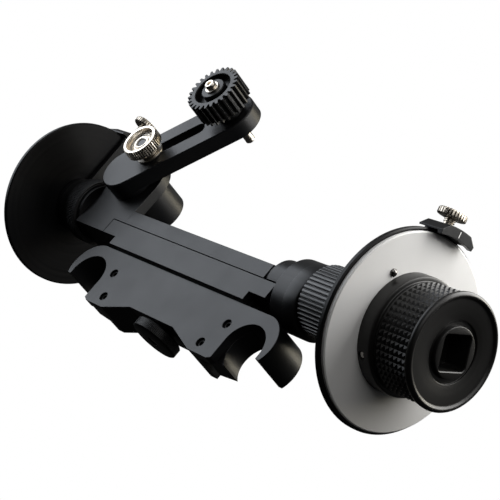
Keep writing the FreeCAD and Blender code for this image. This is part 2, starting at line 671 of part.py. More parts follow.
ring = piece("pivot_ring", across="-pivot_across", along="turn_gap - arm_front + arm_thick", up="pivot_up")
turned(ring, "ring", "Y", (
    ("0", "ring_hole"),
    ("0", "ring_half - 0.3"),
    ("0.3", "ring_half"),
    ("arm_front - arm_thick - plate_front - turn_gap - 0.3", "ring_half"),
    ("arm_front - arm_thick - plate_front - turn_gap", "ring_half - 0.3"),
    ("arm_front - arm_thick - plate_front - turn_gap", "ring_hole"),
))

output = piece("output_shaft", across="-pivot_across", along="output_into - arm_front + arm_thick - output_into", up="pivot_up")
turned(output, "shaft", "Y", (
    ("-output_into", "0"),
    ("-output_into", "output_half - 0.4"),
    ("0.4 - output_into", "output_half"),
    ("arm_front - arm_thick + drum_end - cover_thick - 1.2", "output_half"),
    ("arm_front - arm_thick + drum_end - cover_thick - 1.2", "0"),
))

# ------------------------------------------------------------------ swing arm
ARM = (0, -1, 0)
arm = piece("swing_arm", across="-pivot_across", along="-arm_front", up="pivot_up", axis=ARM, angle="arm_angle")
blade = pad(arm, "blade", stadium(arm, "XZ_Plane", "blade_sketch", "0", "arm_run", "arm_half"),
            "arm_thick", "XZ_Plane")
doc.recompute()
rim = []
for index, edge in enumerate(blade.Shape.Edges, 1):
    if edge.BoundBox.YMax < 1e-6:
        rim.append("Edge%d" % index)
bevel = arm.newObject("PartDesign::Chamfer", "front_bevel")
bevel.Base = (blade, rim)
bind(bevel, "Size", "arm_bevel")
arm.Tip = bevel
pocket(arm, "slot", stadium(arm, "XZ_Plane", "slot_sketch", "slot_from", "slot_to", "slot_half"),
       "arm_thick", "XZ_Plane")
cut(arm, "output_socket", "XZ_Plane", (
    ("0", "0", "output_half + run_play"),
), "arm_thick - output_into - turn_gap", "output_into + turn_gap")
cut(arm, "axle_hole", "XZ_Plane", (("arm_run", "0", "axle_half + run_play"),), "", "arm_thick")
cut(arm, "stud_hole", "XZ_Plane", (("lock_run", "0", "stud_half + run_play"),), "", "arm_thick")


def on_arm(label, run, along):
    """A sub-part on the arm's middle line, at a distance from the swing axis."""
    return piece(label, "%s * cos(arm_angle * 1 deg) - pivot_across" % run, along,
                 "pivot_up + %s * sin(arm_angle * 1 deg)" % run, ARM, "arm_angle")


# ------------------------------------------------------------------ lock knob
lock = on_arm("lock_knob", "lock_run", "-lock_front")
lock_back = "lock_front - arm_front - washer_thick"
turned(lock, "grip", "Y", (
    ("0.5", "lock_half"),
    ("0", "lock_half - 0.5"),
    ("0", "lock_cup + 0.4"),
    ("0.5", "lock_cup"),
    ("lock_well", "lock_cup"),
    ("lock_well", "lock_step"),
    ("lock_well - 1.1", "lock_step - 0.3"),
    ("lock_well - 1.1", "lock_step - 1.3"),
    ("lock_well", "stud_half + seat_play"),
    (lock_back, "stud_half + seat_play"),
    (lock_back, "lock_hub"),
    ("lock_thick", "lock_hub"),
    ("lock_thick", "lock_half - 0.5"),
    ("lock_thick - 0.5", "lock_half"),
))
stud = on_arm("lock_stud", "lock_run", "-lock_front")
turned(stud, "stud", "Y", (
    ("lock_well - 0.6", "0"),
    ("lock_well - 0.6", "stud_half - 0.3"),
    ("lock_well - 0.3", "stud_half"),
    ("lock_front - arm_front + arm_thick + turn_gap", "stud_half"),
    ("lock_front - arm_front + arm_thick + turn_gap", "stud_head"),
    ("lock_front - arm_front + arm_thick + turn_gap + stud_flat", "stud_head"),
    ("lock_front - arm_front + arm_thick + turn_gap + stud_flat", "0"),
))
washer = on_arm("lock_washer", "lock_run", "-(arm_front + washer_thick)")
turned(washer, "washer", "Y", (
    ("0", "stud_half + run_play"),
    ("0", "washer_half - 0.2"),
    ("0.2", "washer_half"),
    ("washer_thick - turn_gap", "washer_half"),
    ("washer_thick - turn_gap", "stud_half + run_play"),
))

# ----------------------------------------------------------------- drive gear
gear = on_arm("drive_gear", "arm_run", "-gear_front")
gear_tip = "(gear_teeth + 2) * gear_pitch / 2"
gear_root = "(gear_teeth - 2.5) * gear_pitch / 2"
turned(gear, "blank", "Y", (
    ("0", "axle_half + seat_play"),
    ("0", "gear_groove_in - 0.3"),
    ("0.3", "gear_groove_in"),
    ("gear_groove_deep", "gear_groove_in"),
    ("gear_groove_deep", "gear_groove_out"),
    ("0.3", "gear_groove_out"),
    ("0", "gear_groove_out + 0.3"),
    ("0", gear_root),
    ("gear_wide", gear_root),
    ("gear_wide", "axle_half + seat_play"),
))
tooth = solid(gear, "tooth", "XZ_Plane", (
    ("-gear_pitch * 1.06", "%s - 0.3" % gear_root),
    ("gear_pitch * 1.06", "%s - 0.3" % gear_root),
    ("gear_pitch * 0.82", "(%s + %s) / 2" % (gear_root, gear_tip)),
    ("gear_pitch * 0.48", gear_tip),
    ("-gear_pitch * 0.48", gear_tip),
    ("-gear_pitch * 0.82", "(%s + %s) / 2" % (gear_root, gear_tip)),
), "", "gear_wide")
around(gear, "teeth", tooth, "Y", "gear_teeth")

axle = on_arm("gear_axle", "arm_run", "-arm_front")
turned(axle, "axle", "Y", (
    ("-(gear_front - arm_front) + gear_wide - axle_into", "0"),
    ("-(gear_front - arm_front) + gear_wide - axle_into", "axle_half - 0.3"),
    ("-(gear_front - arm_front) + gear_wide - axle_into + 0.3", "axle_half"),
    ("arm_thick + axle_out - 0.5", "axle_half"),
    ("arm_thick + axle_out", "axle_half - 0.5"),
    ("arm_thick + axle_out", "0"),
))

spacer = on_arm("gear_spacer", "arm_run", "-arm_front")
turned(spacer, "spacer", "Y", (
    ("gear_wide - gear_front + arm_front", "axle_half + seat_play"),
    ("gear_wide - gear_front + arm_front", "collar_round"),
    ("-turn_gap", "collar_round"),
    ("-turn_gap", "axle_half + seat_play"),
))

screw = on_arm("gear_screw", "arm_run", "-(gear_front + shim_thick)")
turned(screw, "head", "Y", (
    ("0", "0"),
    ("gear_wide - axle_into + shim_thick - turn_gap", "0"),
    ("gear_wide - axle_into + shim_thick - turn_gap", "axle_half"),
    ("0", "axle_half"),
    ("0", "cap_half"),
    ("0.4 - cap_tall", "cap_half"),
    ("-cap_tall", "cap_half - 0.4"),
    ("-cap_tall", "0"),
))
cut(screw, "socket", "XZ_Plane", (
    ("cap_hex / sqrt(3)", "0"),
    ("cap_hex / sqrt(3) / 2", "cap_hex / 2"),
    ("-cap_hex / sqrt(3) / 2", "cap_hex / 2"),
    ("-cap_hex / sqrt(3)", "0"),
    ("-cap_hex / sqrt(3) / 2", "-cap_hex / 2"),
    ("cap_hex / sqrt(3) / 2", "-cap_hex / 2"),
), "-cap_tall", "cap_tall * 0.6")

shim = on_arm("gear_washer", "arm_run", "-(gear_front + shim_thick)")
turned(shim, "washer", "Y", (
    ("0", "axle_half + seat_play"),
    ("0", "shim_half - 0.15"),
    ("0.15", "shim_half"),
    ("shim_thick", "shim_half"),
    ("shim_thick", "axle_half + seat_play"),
))

# ----------------------------------------------- main shaft, wheels and knobs
shaft = piece("main_shaft")
turned(shaft, "shaft", "X", (
    ("-(wheel_left + shaft_into)", "0"),
    ("-(wheel_left + shaft_into)", "shaft_half - 0.5"),
    ("0.5 - (wheel_left + shaft_into)", "shaft_half"),
    ("wheel_right + shaft_into - 0.5", "shaft_half"),
    ("wheel_right + shaft_into", "shaft_half - 0.5"),
    ("wheel_right + shaft_into", "0"),
))

for side, base, sign in (("right", "wheel_right", ""), ("left", "-wheel_left", "-")):
    def out(text):
        """A distance outwards from the wheel's inner face, on this side."""
        return "%s(%s)" % (sign, text)

    wheel = piece("wheel_" + side, across=base)
    turned(wheel, "wheel", "X", (
        ("0", "shaft_half + seat_play"),
        ("0", "wheel_half - wheel_bevel"),
        (out("wheel_bevel"), "wheel_half"),
        (out("wheel_thick - wheel_bevel"), "wheel_half"),
        (out("wheel_thick"), "wheel_half - wheel_bevel"),
        (out("wheel_thick"), "shaft_half + seat_play"),
    ))

    disc = piece("marking_disc_" + side, across=base)
    turned(disc, "disc", "X", (
        (out("wheel_thick"), "grip_half - 6"),
        (out("wheel_thick"), "wheel_half - disc_edge"),
        (out("wheel_thick + disc_thick - 0.4"), "wheel_half - disc_edge"),
        (out("wheel_thick + disc_thick"), "wheel_half - disc_edge - 0.4"),
        (out("wheel_thick + disc_thick"), "flange_half + run_play"),
        (out("wheel_thick + disc_thick - 0.6"), "flange_half + run_play"),
        (out("wheel_thick + disc_thick - 0.6"), "grip_half - 6"),
    ))
    cut(disc, "dot_hole", "YZ_Plane", (
        ("-dot_run * sin(66 deg)", "dot_run * cos(66 deg)", "dot_half"),
    ), out("wheel_thick") if not sign else out("wheel_thick + disc_thick"), "disc_thick")

    dot = piece("index_pin_" + side, across=base, along="-dot_run * sin(66 deg)", up="dot_run * cos(66 deg)")
    turned(dot, "pin", "X", (
        (out("wheel_thick"), "0"),
        (out("wheel_thick"), "dot_half - seat_play"),
        (out("wheel_thick + disc_thick + dot_tall - 0.7"), "dot_half - seat_play"),
        (out("wheel_thick + disc_thick + dot_tall - 0.25"), "dot_half - 0.45"),
        (out("wheel_thick + disc_thick + dot_tall"), "0.3"),
        (out("wheel_thick + disc_thick + dot_tall"), "0"),
    ))

    knob = piece("knob_" + side, across=base)
    flange = "wheel_thick + disc_thick - 0.6"
    neck = "%s + flange_long" % flange
    turned(knob, "grip", "X", (
        (out("wheel_thick"), "shaft_half + seat_play"),
        (out("wheel_thick"), "grip_half - 6 - seat_play"),
        (out(flange), "grip_half - 6 - seat_play"),
        (out(flange), "flange_half"),
        (out("%s - 0.6" % neck), "flange_half"),
        (out(neck), "flange_half - 0.6"),
        (out(neck), "grip_neck"),
        (out("%s + grip_step - 0.4" % neck), "grip_neck"),
        (out("%s + grip_step" % neck), "grip_half"),
        (out("knob_long - lip_long - 0.4"), "grip_half"),
        (out("knob_long - lip_long"), "grip_neck"),
        (out("knob_long - lip_long"), "lip_half - 0.5"),
        (out("knob_long - lip_long + 0.5"), "lip_half"),
        (out("knob_long - 0.9"), "lip_half"),
        (out("knob_long - 0.25"), "lip_half - 0.35"),
        (out("knob_long"), "lip_half - 0.95"),
        (out("knob_long"), "face_half + 0.3"),
        (out("knob_long - 0.3"), "face_half"),
        (out("knob_long - face_sink"), "face_half - 0.9"),
        (out("knob_long - face_sink"), "moat_half"),
        (out("knob_long - face_sink - moat_sink"), "moat_half - 0.9"),
        (out("knob_long - face_sink - moat_sink"), "nose_half + seat_play"),
        (out("knob_long - nose_long"), "nose_half + seat_play"),
        (out("knob_long - nose_long"), "shaft_half + seat_play"),
    ))

    nose = piece("drive_socket_" + side, across=base)
    turned(nose, "boss", "X", (
        (out("knob_long - nose_long"), "0"),
        (out("knob_long - nose_long"), "nose_half"),
        (out("knob_long - 0.5"), "nose_half"),
        (out("knob_long"), "nose_half - 0.5"),
        (out("knob_long"), "0"),
    ))
    reach, short = "socket_reach", "(socket_side / sqrt(2) - socket_reach)"
    cut(nose, "square", "YZ_Plane", (
        (reach, "-" + short),
        (reach, short),
        (short, reach),
        ("-" + short, reach),
        ("-" + reach, short),
        ("-" + reach, "-" + short),
        ("-" + short, "-" + reach),
        (short, "-" + reach),
    ), out("knob_long - socket_deep") if not sign else out("knob_long"), "socket_deep")

    grub = piece("set_screw_" + side, across=base, axis=(1, 0, 0), angle="148")
    middle_out = out("%s + flange_long / 2 - 0.5" % flange)
    solid(grub, "screw", "XY_Plane", (
        (middle_out, "0", "grub_half - seat_play"),
    ), "flange_half - 0.3 - grub_long", "grub_long")
    cut(grub, "socket", "XY_Plane", (
        (middle_out, "0", "grub_half / 2"),
    ), "flange_half - 0.3 - grub_half", "grub_half")
    hole = cut(knob, "grub_hole", "XY_Plane", (
        (middle_out, "0", "grub_half"),
    ), "flange_half - 0.3 - grub_long", "grub_long + 1")
    bind(hole.Profile[0], "AttachmentOffset.Base.y", "-sin(148 deg) * (flange_half - 0.3 - grub_long)")
    bind(hole.Profile[0], "AttachmentOffset.Base.z", "cos(148 deg) * (flange_half - 0.3 - grub_long)")
    turn = hole.Profile[0].AttachmentOffset
    hole.Profile[0].AttachmentOffset = FreeCAD.Placement(
        turn.Base, FreeCAD.Rotation(FreeCAD.Vector(1, 0, 0), 148))

    # pointer: a hub that turns on the fixed sleeve, a web and a bridge over the rim
    angle = "point_" + side
    low, high = "wheel_half + bridge_gap", "wheel_half + bridge_gap + bridge_thick"
    if side == "right":
        start, stop, radius = "hub_start", "hub_start + hub_ribs_long", "hub_half"
        count, deep = "hub_ribs", "hub_rib_deep"
        web_in = "wheel_right - web_gap - web_thick"
    else:
        start, stop, radius = "-hub_left_start", "-(hub_left_start + hub_left_long)", "hub_left_half"
        count, deep = "", ""
        web_in = "-(wheel_left - web_gap - web_thick)"
    hub = piece("pointer_hub_" + side, axis=(1, 0, 0), angle=angle)
    unit = "%s0.5" % sign
    turned(hub, "hub", "X", (
        (start, "sleeve_half + run_play"),
        (start, "%s - 0.5" % radius),
        ("%s + %s" % (start, unit), radius),
        ("%s - %s" % (stop, unit), radius),
        (stop, "%s - 0.5" % radius),
        (stop, "hub_neck"),
        (web_in, "hub_neck"),
        (web_in, "sleeve_half + run_play"),
    ))
    if count:
        ribbed(hub, "ribs", "X", radius, start + " - 0.2", "hub_ribs_long + 0.4", count, deep)

    pointer = piece("pointer_" + side, across=base, axis=(1, 0, 0), angle=angle)
    web_start = out("-web_gap - web_thick") if not sign else out("-web_gap")
    solid(pointer, "eye", "YZ_Plane", (("0", "0", "hub_neck"),), web_start, "web_thick")
    solid(pointer, "web", "XY_Plane", (
        (out("-web_gap - web_thick"), "-web_half"),
        (out("-web_gap - web_thick"), "web_half"),
        (out("-web_gap"), "web_half"),
        (out("-web_gap"), "-web_half"),
    ), "hub_neck - 1.2", low + " - hub_neck + 1.5")
    cut(pointer, "bore", "YZ_Plane", (("0", "0", "sleeve_half + run_play"),), web_start, "web_thick")
    turned(pointer, "bridge", "X", (
        (out("-web_gap - web_thick"), low),
        (out("-web_gap - web_thick"), high),
        (out("bridge_end"), high),
        (out("bridge_end"), low + " - index_drop"),
        (out("bridge_end - index_thick"), low + " - index_drop"),
        (out("bridge_end - index_thick"), low),
    ), angle="bridge_span")
    for end, way in (("back", ""), ("front", "-")):
        cut(pointer, "bevel_" + end, "YZ_Plane", tuple(
            ("%s(%s) * sin(%s)" % (way, reach, turn), "(%s) * cos(%s)" % (reach, turn)) for reach, turn in (
                (high + " + 0.05", "bridge_span / 2 * 1 deg - bridge_turn * 1 deg"),
                (low + " + bridge_edge", "bridge_span / 2 * 1 deg"),
                (low + " + bridge_edge", "bridge_span / 2 * 1 deg + 4 deg"),
                (high + " + 2", "bridge_span / 2 * 1 deg + 4 deg"),
            )), out("-web_gap - web_thick - 1") if not sign else out("bridge_end + 1"),
            "web_gap + web_thick + bridge_end + 2")
    head = high + " + thumb_" + side
    thumb_end = "%s - thumb_long_%s" % (head, side)
    cut(pointer, "thumb_hole", "XY_Plane", (
        (out("thumb_seat"), "0", "thumb_stem + run_play"),
    ), low + " - 1", "bridge_thick + 2")

    thumb = piece("thumbscrew_" + side, "%s + %s" % (base, out("thumb_seat")), axis=(1, 0, 0), angle=angle)
    turned(thumb, "screw", "Z", (
        ("0", thumb_end),
        ("thumb_stem - 0.3", thumb_end),
        ("thumb_stem", "%s + 0.3" % thumb_end),
        ("thumb_stem", high + " + turn_gap"),
        ("thumb_collar", high + " + turn_gap"),
        ("thumb_collar", head),
        ("thumb_half - 0.4", head),
        ("thumb_half", head + " + 0.4"),
        ("thumb_half", head + " + thumb_tall - 0.4"),
        ("thumb_half - 0.4", head + " + thumb_tall"),
        ("0", head + " + thumb_tall"),
    ))

doc.recompute()

faults = [item.Name for item in doc.Objects if "Invalid" in item.State or "Error" in item.State]
for item in parts:
    shape = item.Shape
    if shape.isNull() or not shape.isValid() or not shape.Solids:
        faults.append(item.Label)
if faults:
    raise RuntimeError("these did not build: " + ", ".join(faults))

os.makedirs("parts", exist_ok=True)
for item in parts:
    item.Shape.exportStep("parts/%s.step" % item.Label)
print("%d sub-parts" % len(parts))
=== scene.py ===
import json
import math

import bmesh
import bpy
from mathutils import Matrix, Vector


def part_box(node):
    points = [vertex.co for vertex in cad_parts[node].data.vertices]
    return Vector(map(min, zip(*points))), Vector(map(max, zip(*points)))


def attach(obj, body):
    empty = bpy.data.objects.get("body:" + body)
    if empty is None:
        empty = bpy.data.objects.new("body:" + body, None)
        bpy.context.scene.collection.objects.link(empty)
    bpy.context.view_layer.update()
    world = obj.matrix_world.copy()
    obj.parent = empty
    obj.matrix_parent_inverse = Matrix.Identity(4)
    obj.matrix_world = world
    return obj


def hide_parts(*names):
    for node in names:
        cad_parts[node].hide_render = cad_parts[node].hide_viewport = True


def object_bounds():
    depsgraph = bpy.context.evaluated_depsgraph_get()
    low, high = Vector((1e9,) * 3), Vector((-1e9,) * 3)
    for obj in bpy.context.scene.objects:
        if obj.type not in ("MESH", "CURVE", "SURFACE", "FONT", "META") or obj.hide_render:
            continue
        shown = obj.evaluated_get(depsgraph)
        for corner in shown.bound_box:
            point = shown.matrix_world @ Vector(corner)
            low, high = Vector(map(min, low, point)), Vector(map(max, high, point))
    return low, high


# Follow focus unit for a camera rod rig, in metres, in the frame of its CAD
# model: +X along the main shaft to the right-hand knob, +Y to the back, +Z up.
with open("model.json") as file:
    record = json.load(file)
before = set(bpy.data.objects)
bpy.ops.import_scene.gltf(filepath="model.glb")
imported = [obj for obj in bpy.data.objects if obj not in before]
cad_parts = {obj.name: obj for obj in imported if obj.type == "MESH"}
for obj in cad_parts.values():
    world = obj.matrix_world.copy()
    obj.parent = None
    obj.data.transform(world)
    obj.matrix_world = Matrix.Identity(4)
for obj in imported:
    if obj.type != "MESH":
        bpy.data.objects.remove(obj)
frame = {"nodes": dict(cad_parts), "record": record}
cad_box = [list(corner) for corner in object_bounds()]
nodes = frame["nodes"]
MM = 0.001

# ------------------------------------------------------------------ camera
# A long lens looks up at the unit from its front right. The camera is held at a
# tilt, so its top leans away from +Z.
camera_lens, camera_sensor = 109.46, 36.0
camera_place = Vector((449.896, -336.101, -117.097)) * MM
camera_aim = Vector((6.022, 2.329, 40.605)) * MM
camera_top = Vector((-0.2272, -0.6400, 0.7340))
back = (camera_place - camera_aim).normalized()
right = camera_top.cross(back).normalized()
camera = bpy.data.objects.new("camera", bpy.data.cameras.new("camera"))
camera.data.sensor_width, camera.data.lens = camera_sensor, camera_lens
camera.data.clip_start, camera.data.clip_end = 0.02, 20.0
turn = Matrix((right, back.cross(right), back)).transposed()
camera.matrix_world = Matrix.Translation(camera_place) @ turn.to_4x4()
bpy.context.scene.collection.objects.link(camera)
bpy.context.scene.camera = camera

# ------------------------------------------------------------------ studio
# A pale floor, clear from below and fading out at its edge, a white surround, and
# five soft lamps: front left, above, close over the right wheel, behind, and a
# card beside the camera that the plated pieces mirror.
floor_size, floor_gap = 3.0, 0.4 * MM
floor_fade = (0.5, 1.2)
floor_tone = (0.86, 0.86, 0.87, 1.0)
floor_glow, glow_share = 0.35, 0.5
surround_heights, surround_strengths = (-0.35, 0.9), (0.006, 0.10)
plain_light, cool_light, warm_light = (1.0, 0.99, 0.97), (0.88, 0.93, 1.0), (1.0, 0.92, 0.72)


def link(tree, start, end):
    """Joins an output socket to an input socket."""
    tree.links.new(start, end)


def node_of(tree, kind, settings=None, **inputs):
    """A new node with its settings and the plain values of its inputs."""
    made = tree.nodes.new(kind)
    for name, value in (settings or {}).items():
        setattr(made, name, value)
    for name, value in inputs.items():
        made.inputs[name.replace("_", " ")].default_value = value
    return made


def math_node(tree, operation, first, second):
    """A Math node; each input is a socket or a number. Returns its output."""
    made = node_of(tree, "ShaderNodeMath", {"operation": operation})
    for socket, value in zip(made.inputs, (first, second)):
        if hasattr(value, "links"):
            link(tree, value, socket)
        else:
            socket.default_value = value
    return made.outputs[0]


def vector_node(tree, operation, first, second=None):
    """A Vector Math node between one or two sockets."""
    made = node_of(tree, "ShaderNodeVectorMath", {"operation": operation})
    for socket, value in zip(made.inputs, (first, second)):
        if value is not None:
            link(tree, value, socket)
    return made


def empty_material(name):
    """A material with nothing but its output node."""
    material = bpy.data.materials.new(name)
    material.use_nodes = True
    material.node_tree.nodes.clear()
    output = material.node_tree.nodes.new("ShaderNodeOutputMaterial")
    return material, material.node_tree, output


floor_level = cad_box[0][2] - floor_gap
mesh = bpy.data.meshes.new("floor")
reach = floor_size / 2
mesh.from_pydata([(-reach, -reach, floor_level), (reach, -reach, floor_level),
                  (reach, reach, floor_level), (-reach, reach, floor_level)],
                 [], [(0, 1, 2, 3)])
floor = bpy.data.objects.new("floor", mesh)
bpy.context.scene.collection.objects.link(floor)
floor.visible_glossy = floor.visible_diffuse = False

material, tree, output = empty_material("studio floor")
spot = node_of(tree, "ShaderNodeTexCoord")
away = vector_node(tree, "LENGTH", spot.outputs["Object"]).outputs["Value"]
fade = node_of(tree, "ShaderNodeMapRange", From_Min=floor_fade[0], From_Max=floor_fade[1])
link(tree, away, fade.inputs["Value"])
behind = node_of(tree, "ShaderNodeNewGeometry")
clear = math_node(tree, "MAXIMUM", behind.outputs["Backfacing"], fade.outputs["Result"])
paint = node_of(tree, "ShaderNodeBsdfDiffuse", Color=floor_tone)
glow = node_of(tree, "ShaderNodeEmission", Color=floor_tone, Strength=floor_glow)
ray = node_of(tree, "ShaderNodeLightPath")
lit = node_of(tree, "ShaderNodeMixShader")
link(tree, math_node(tree, "MULTIPLY", ray.outputs["Is Camera Ray"], glow_share), lit.inputs[0])
link(tree, paint.outputs[0], lit.inputs[1])
link(tree, glow.outputs[0], lit.inputs[2])
see_through = node_of(tree, "ShaderNodeBsdfTransparent")
mixed = node_of(tree, "ShaderNodeMixShader")
link(tree, clear, mixed.inputs[0])
link(tree, lit.outputs[0], mixed.inputs[1])
link(tree, see_through.outputs[0], mixed.inputs[2])
link(tree, mixed.outputs[0], output.inputs["Surface"])
floor.data.materials.append(material)

# the surround: white to the eye and through glass, a faint share of that white
# in mirrored metal, more from above, and soft light from above for the rest
world = bpy.data.worlds.new("studio")
bpy.context.scene.world = world
world.use_nodes = True
tree = world.node_tree
tree.nodes.clear()
way = node_of(tree, "ShaderNodeTexCoord")
split = node_of(tree, "ShaderNodeSeparateXYZ")
link(tree, way.outputs["Generated"], split.inputs[0])
height = node_of(tree, "ShaderNodeMapRange", {"interpolation_type": "SMOOTHSTEP"},
                 From_Min=surround_heights[0], From_Max=surround_heights[1],
                 To_Min=surround_strengths[0], To_Max=surround_strengths[1])
link(tree, split.outputs["Z"], height.inputs["Value"])
ray = node_of(tree, "ShaderNodeLightPath")
seen = math_node(tree, "MAXIMUM", ray.outputs["Is Camera Ray"], ray.outputs["Is Transmission Ray"])
mirrored = math_node(tree, "MULTIPLY", ray.outputs["Is Glossy Ray"], height.outputs["Result"])
seen = math_node(tree, "MAXIMUM", seen, mirrored)
strength = node_of(tree, "ShaderNodeMix", {"data_type": "FLOAT"})
link(tree, seen, strength.inputs[0])
link(tree, height.outputs["Result"], strength.inputs[2])
strength.inputs[3].default_value = 1.0
sky = node_of(tree, "ShaderNodeBackground", Color=(1.0, 1.0, 1.0, 1.0))
link(tree, strength.outputs[0], sky.inputs["Strength"])
output = tree.nodes.new("ShaderNodeOutputWorld")
link(tree, sky.outputs[0], output.inputs["Surface"])


def softbox(name, target, direction, distance, size, power, colour):
    """A square soft lamp that faces a point of the unit."""
    lamp = bpy.data.lights.new(name, "AREA")
    lamp.size, lamp.energy, lamp.color = size, power, colour
    box = bpy.data.objects.new(name, lamp)
    away = Vector(direction).normalized()
    box.location = target + away * distance
    box.rotation_mode = "QUATERNION"
    box.rotation_quaternion = (-away).to_track_quat("-Z", "Y")
    bpy.context.scene.collection.objects.link(box)


wheel_low, wheel_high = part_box("marking_disc_right")
disc_middle = (wheel_low + wheel_high) / 2
# each lamp's target, the way to it from there, its distance and size in metres,
# its power in watts and its colour
for lamp in (
        ("front_softbox", camera_aim, (-0.77, -0.61, 0.10), 0.9, 0.90, 7.9, cool_light),
        ("top_softbox", camera_aim, (0.42, -0.50, 0.80), 0.9, 0.55, 0.8, plain_light),
        ("wheel_softbox", disc_middle, (0.30, 0.14, 0.93), 0.14, 0.15, 0.46, plain_light),
        ("rear_softbox", camera_aim, (0.27, 0.58, 0.77), 1.0, 0.4, 2.8, warm_light),
        ("card_softbox", camera_aim, (0.72, -0.62, 0.34), 0.9, 0.6, 1.4, plain_light)):
    softbox(*lamp)
bpy.context.scene.view_settings.view_transform = "Standard"

# ------------------------------------------------------------------ rod bracket
# Milled from aluminium bar, bead blasted and anodised satin black; its sharp
# edges are broken, and the thin paler line painted along them is partly edge
# wear and partly a painted highlight. Four blackened grub screws sit in its
# front face.


def group_tree(name, inputs, outputs):
    """A shader node group with inputs (name, kind, value) and outputs (name, kind).

    Returns the group, what it is given inside, and what it gives out.
    """
    tree = bpy.data.node_groups.new(name, "ShaderNodeTree")
    for title, kind, value in inputs:
        socket = tree.interface.new_socket(title, in_out="INPUT",
                                           socket_type="NodeSocket" + kind)
        if value is not None:
            socket.default_value = value
    for title, kind in outputs:
        tree.interface.new_socket(title, in_out="OUTPUT", socket_type="NodeSocket" + kind)
    given = tree.nodes.new("NodeGroupInput").outputs
    return tree, given, tree.nodes.new("NodeGroupOutput").inputs


def place_group(tree, group, **values):
    """A node group placed in a material; each value is a socket or a plain value."""
    made = node_of(tree, "ShaderNodeGroup", {"node_tree": group})
    for name, value in values.items():
        socket = made.inputs[name.replace("_", " ")]
        if hasattr(value, "links"):
            link(tree, value, socket)
        else:
            socket.default_value = value
    return made


# fine blasted grain, and slow clouds of slightly different sheen
blasted_grain, given, gives = group_tree(
    "blasted grain",
    (("Vector", "Vector", None), ("Grain", "Float", 0.00012), ("Cloud", "Float", 0.012)),
    (("Height", "Float"), ("Clouds", "Float")))
speck = node_of(blasted_grain, "ShaderNodeTexNoise", Detail=3.0, Roughness=0.6)
link(blasted_grain, given["Vector"], speck.inputs["Vector"])
link(blasted_grain, math_node(blasted_grain, "DIVIDE", 1.0, given["Grain"]),
     speck.inputs["Scale"])
cloud = node_of(blasted_grain, "ShaderNodeTexNoise", Detail=4.0, Roughness=0.55)
link(blasted_grain, given["Vector"], cloud.inputs["Vector"])
link(blasted_grain, math_node(blasted_grain, "DIVIDE", 1.0, given["Cloud"]),
     cloud.inputs["Scale"])
link(blasted_grain, speck.outputs[0], gives["Height"])
link(blasted_grain, cloud.outputs[0], gives["Clouds"])

# the broken edge: a rounded normal, and a mask of where the edge is; the finishes
# paint a paler colour along it, partly edge wear and partly painted highlight
broken_edge, given, gives = group_tree(
    "broken edge",
    (("Radius", "Float", None), ("Reach", "Float", 0.25)),
    (("Edge", "Float"), ("Normal", "Vector")))
rounding = node_of(broken_edge, "ShaderNodeBevel", {"samples": 6})
link(broken_edge, given["Radius"], rounding.inputs["Radius"])
flat = node_of(broken_edge, "ShaderNodeNewGeometry")
match = vector_node(broken_edge, "DOT_PRODUCT", rounding.outputs[0], flat.outputs["Normal"])
lost = math_node(broken_edge, "SUBTRACT", 1.0, match.outputs["Value"])
near = node_of(broken_edge, "ShaderNodeMapRange")
link(broken_edge, lost, near.inputs["Value"])
link(broken_edge, given["Reach"], near.inputs["From Max"])
link(broken_edge, near.outputs["Result"], gives["Edge"])
link(broken_edge, rounding.outputs[0], gives["Normal"])


def mix_colour(tree, amount, first, second):
    """A colour between two, by a socket's value."""
    made = node_of(tree, "ShaderNodeMix", {"data_type": "RGBA"})
    link(tree, amount, made.inputs[0])
    for socket, value in ((made.inputs[6], first), (made.inputs[7], second)):
        if hasattr(value, "links"):
            link(tree, value, socket)
        else:
            socket.default_value = (*value, 1.0)
    return made.outputs[2]


def join_skin(tree, skin, colour, play, rough, rough_play, height, depth, normal):
    """Joins a shader's colour, a roughness that plays with a mask, and a fine relief."""
    link(tree, colour, skin.inputs["Base Color"])
    sheen = node_of(tree, "ShaderNodeMapRange", From_Min=0.3, From_Max=0.7,
                    To_Min=rough - rough_play, To_Max=rough + rough_play)
    link(tree, play, sheen.inputs["Value"])
    link(tree, sheen.outputs["Result"], skin.inputs["Roughness"])
    bump = node_of(tree, "ShaderNodeBump", Strength=1.0, Distance=depth)
    link(tree, height, bump.inputs["Height"])
    link(tree, normal, bump.inputs["Normal"])
    link(tree, bump.outputs[0], skin.inputs["Normal"])


def satin_finish(name, tone, cloud_tone, edge_wear_and_highlight, rough, rough_play, grain_depth, level,
                 edge_radius=0.0003):
    """A fine-grained satin surface with slow clouds, its broken edges painted paler: partly edge
    wear, partly painted highlight.
    """
    material, tree, output = empty_material(name)
    spot = node_of(tree, "ShaderNodeTexCoord")
    grain = place_group(tree, blasted_grain, Vector=spot.outputs["Object"])
    edge = place_group(tree, broken_edge, Radius=edge_radius)
    skin = node_of(tree, "ShaderNodeBsdfPrincipled")
    skin.inputs["Specular IOR Level"].default_value = level
    body = mix_colour(tree, grain.outputs["Clouds"], tone, cloud_tone)
    # paler edges: partly edge wear, partly painted highlight
    body = mix_colour(tree, edge.outputs["Edge"], body, edge_wear_and_highlight)
    join_skin(tree, skin, body, grain.outputs["Clouds"], rough, rough_play,
              grain.outputs["Height"], grain_depth, edge.outputs["Normal"])
    link(tree, skin.outputs[0], output.inputs["Surface"])
    return material


def finish_nodes(material, *names):
    """Gives CAD nodes their finish."""
    for name in names:
        nodes[name].data.materials.clear()
        nodes[name].data.materials.append(material)
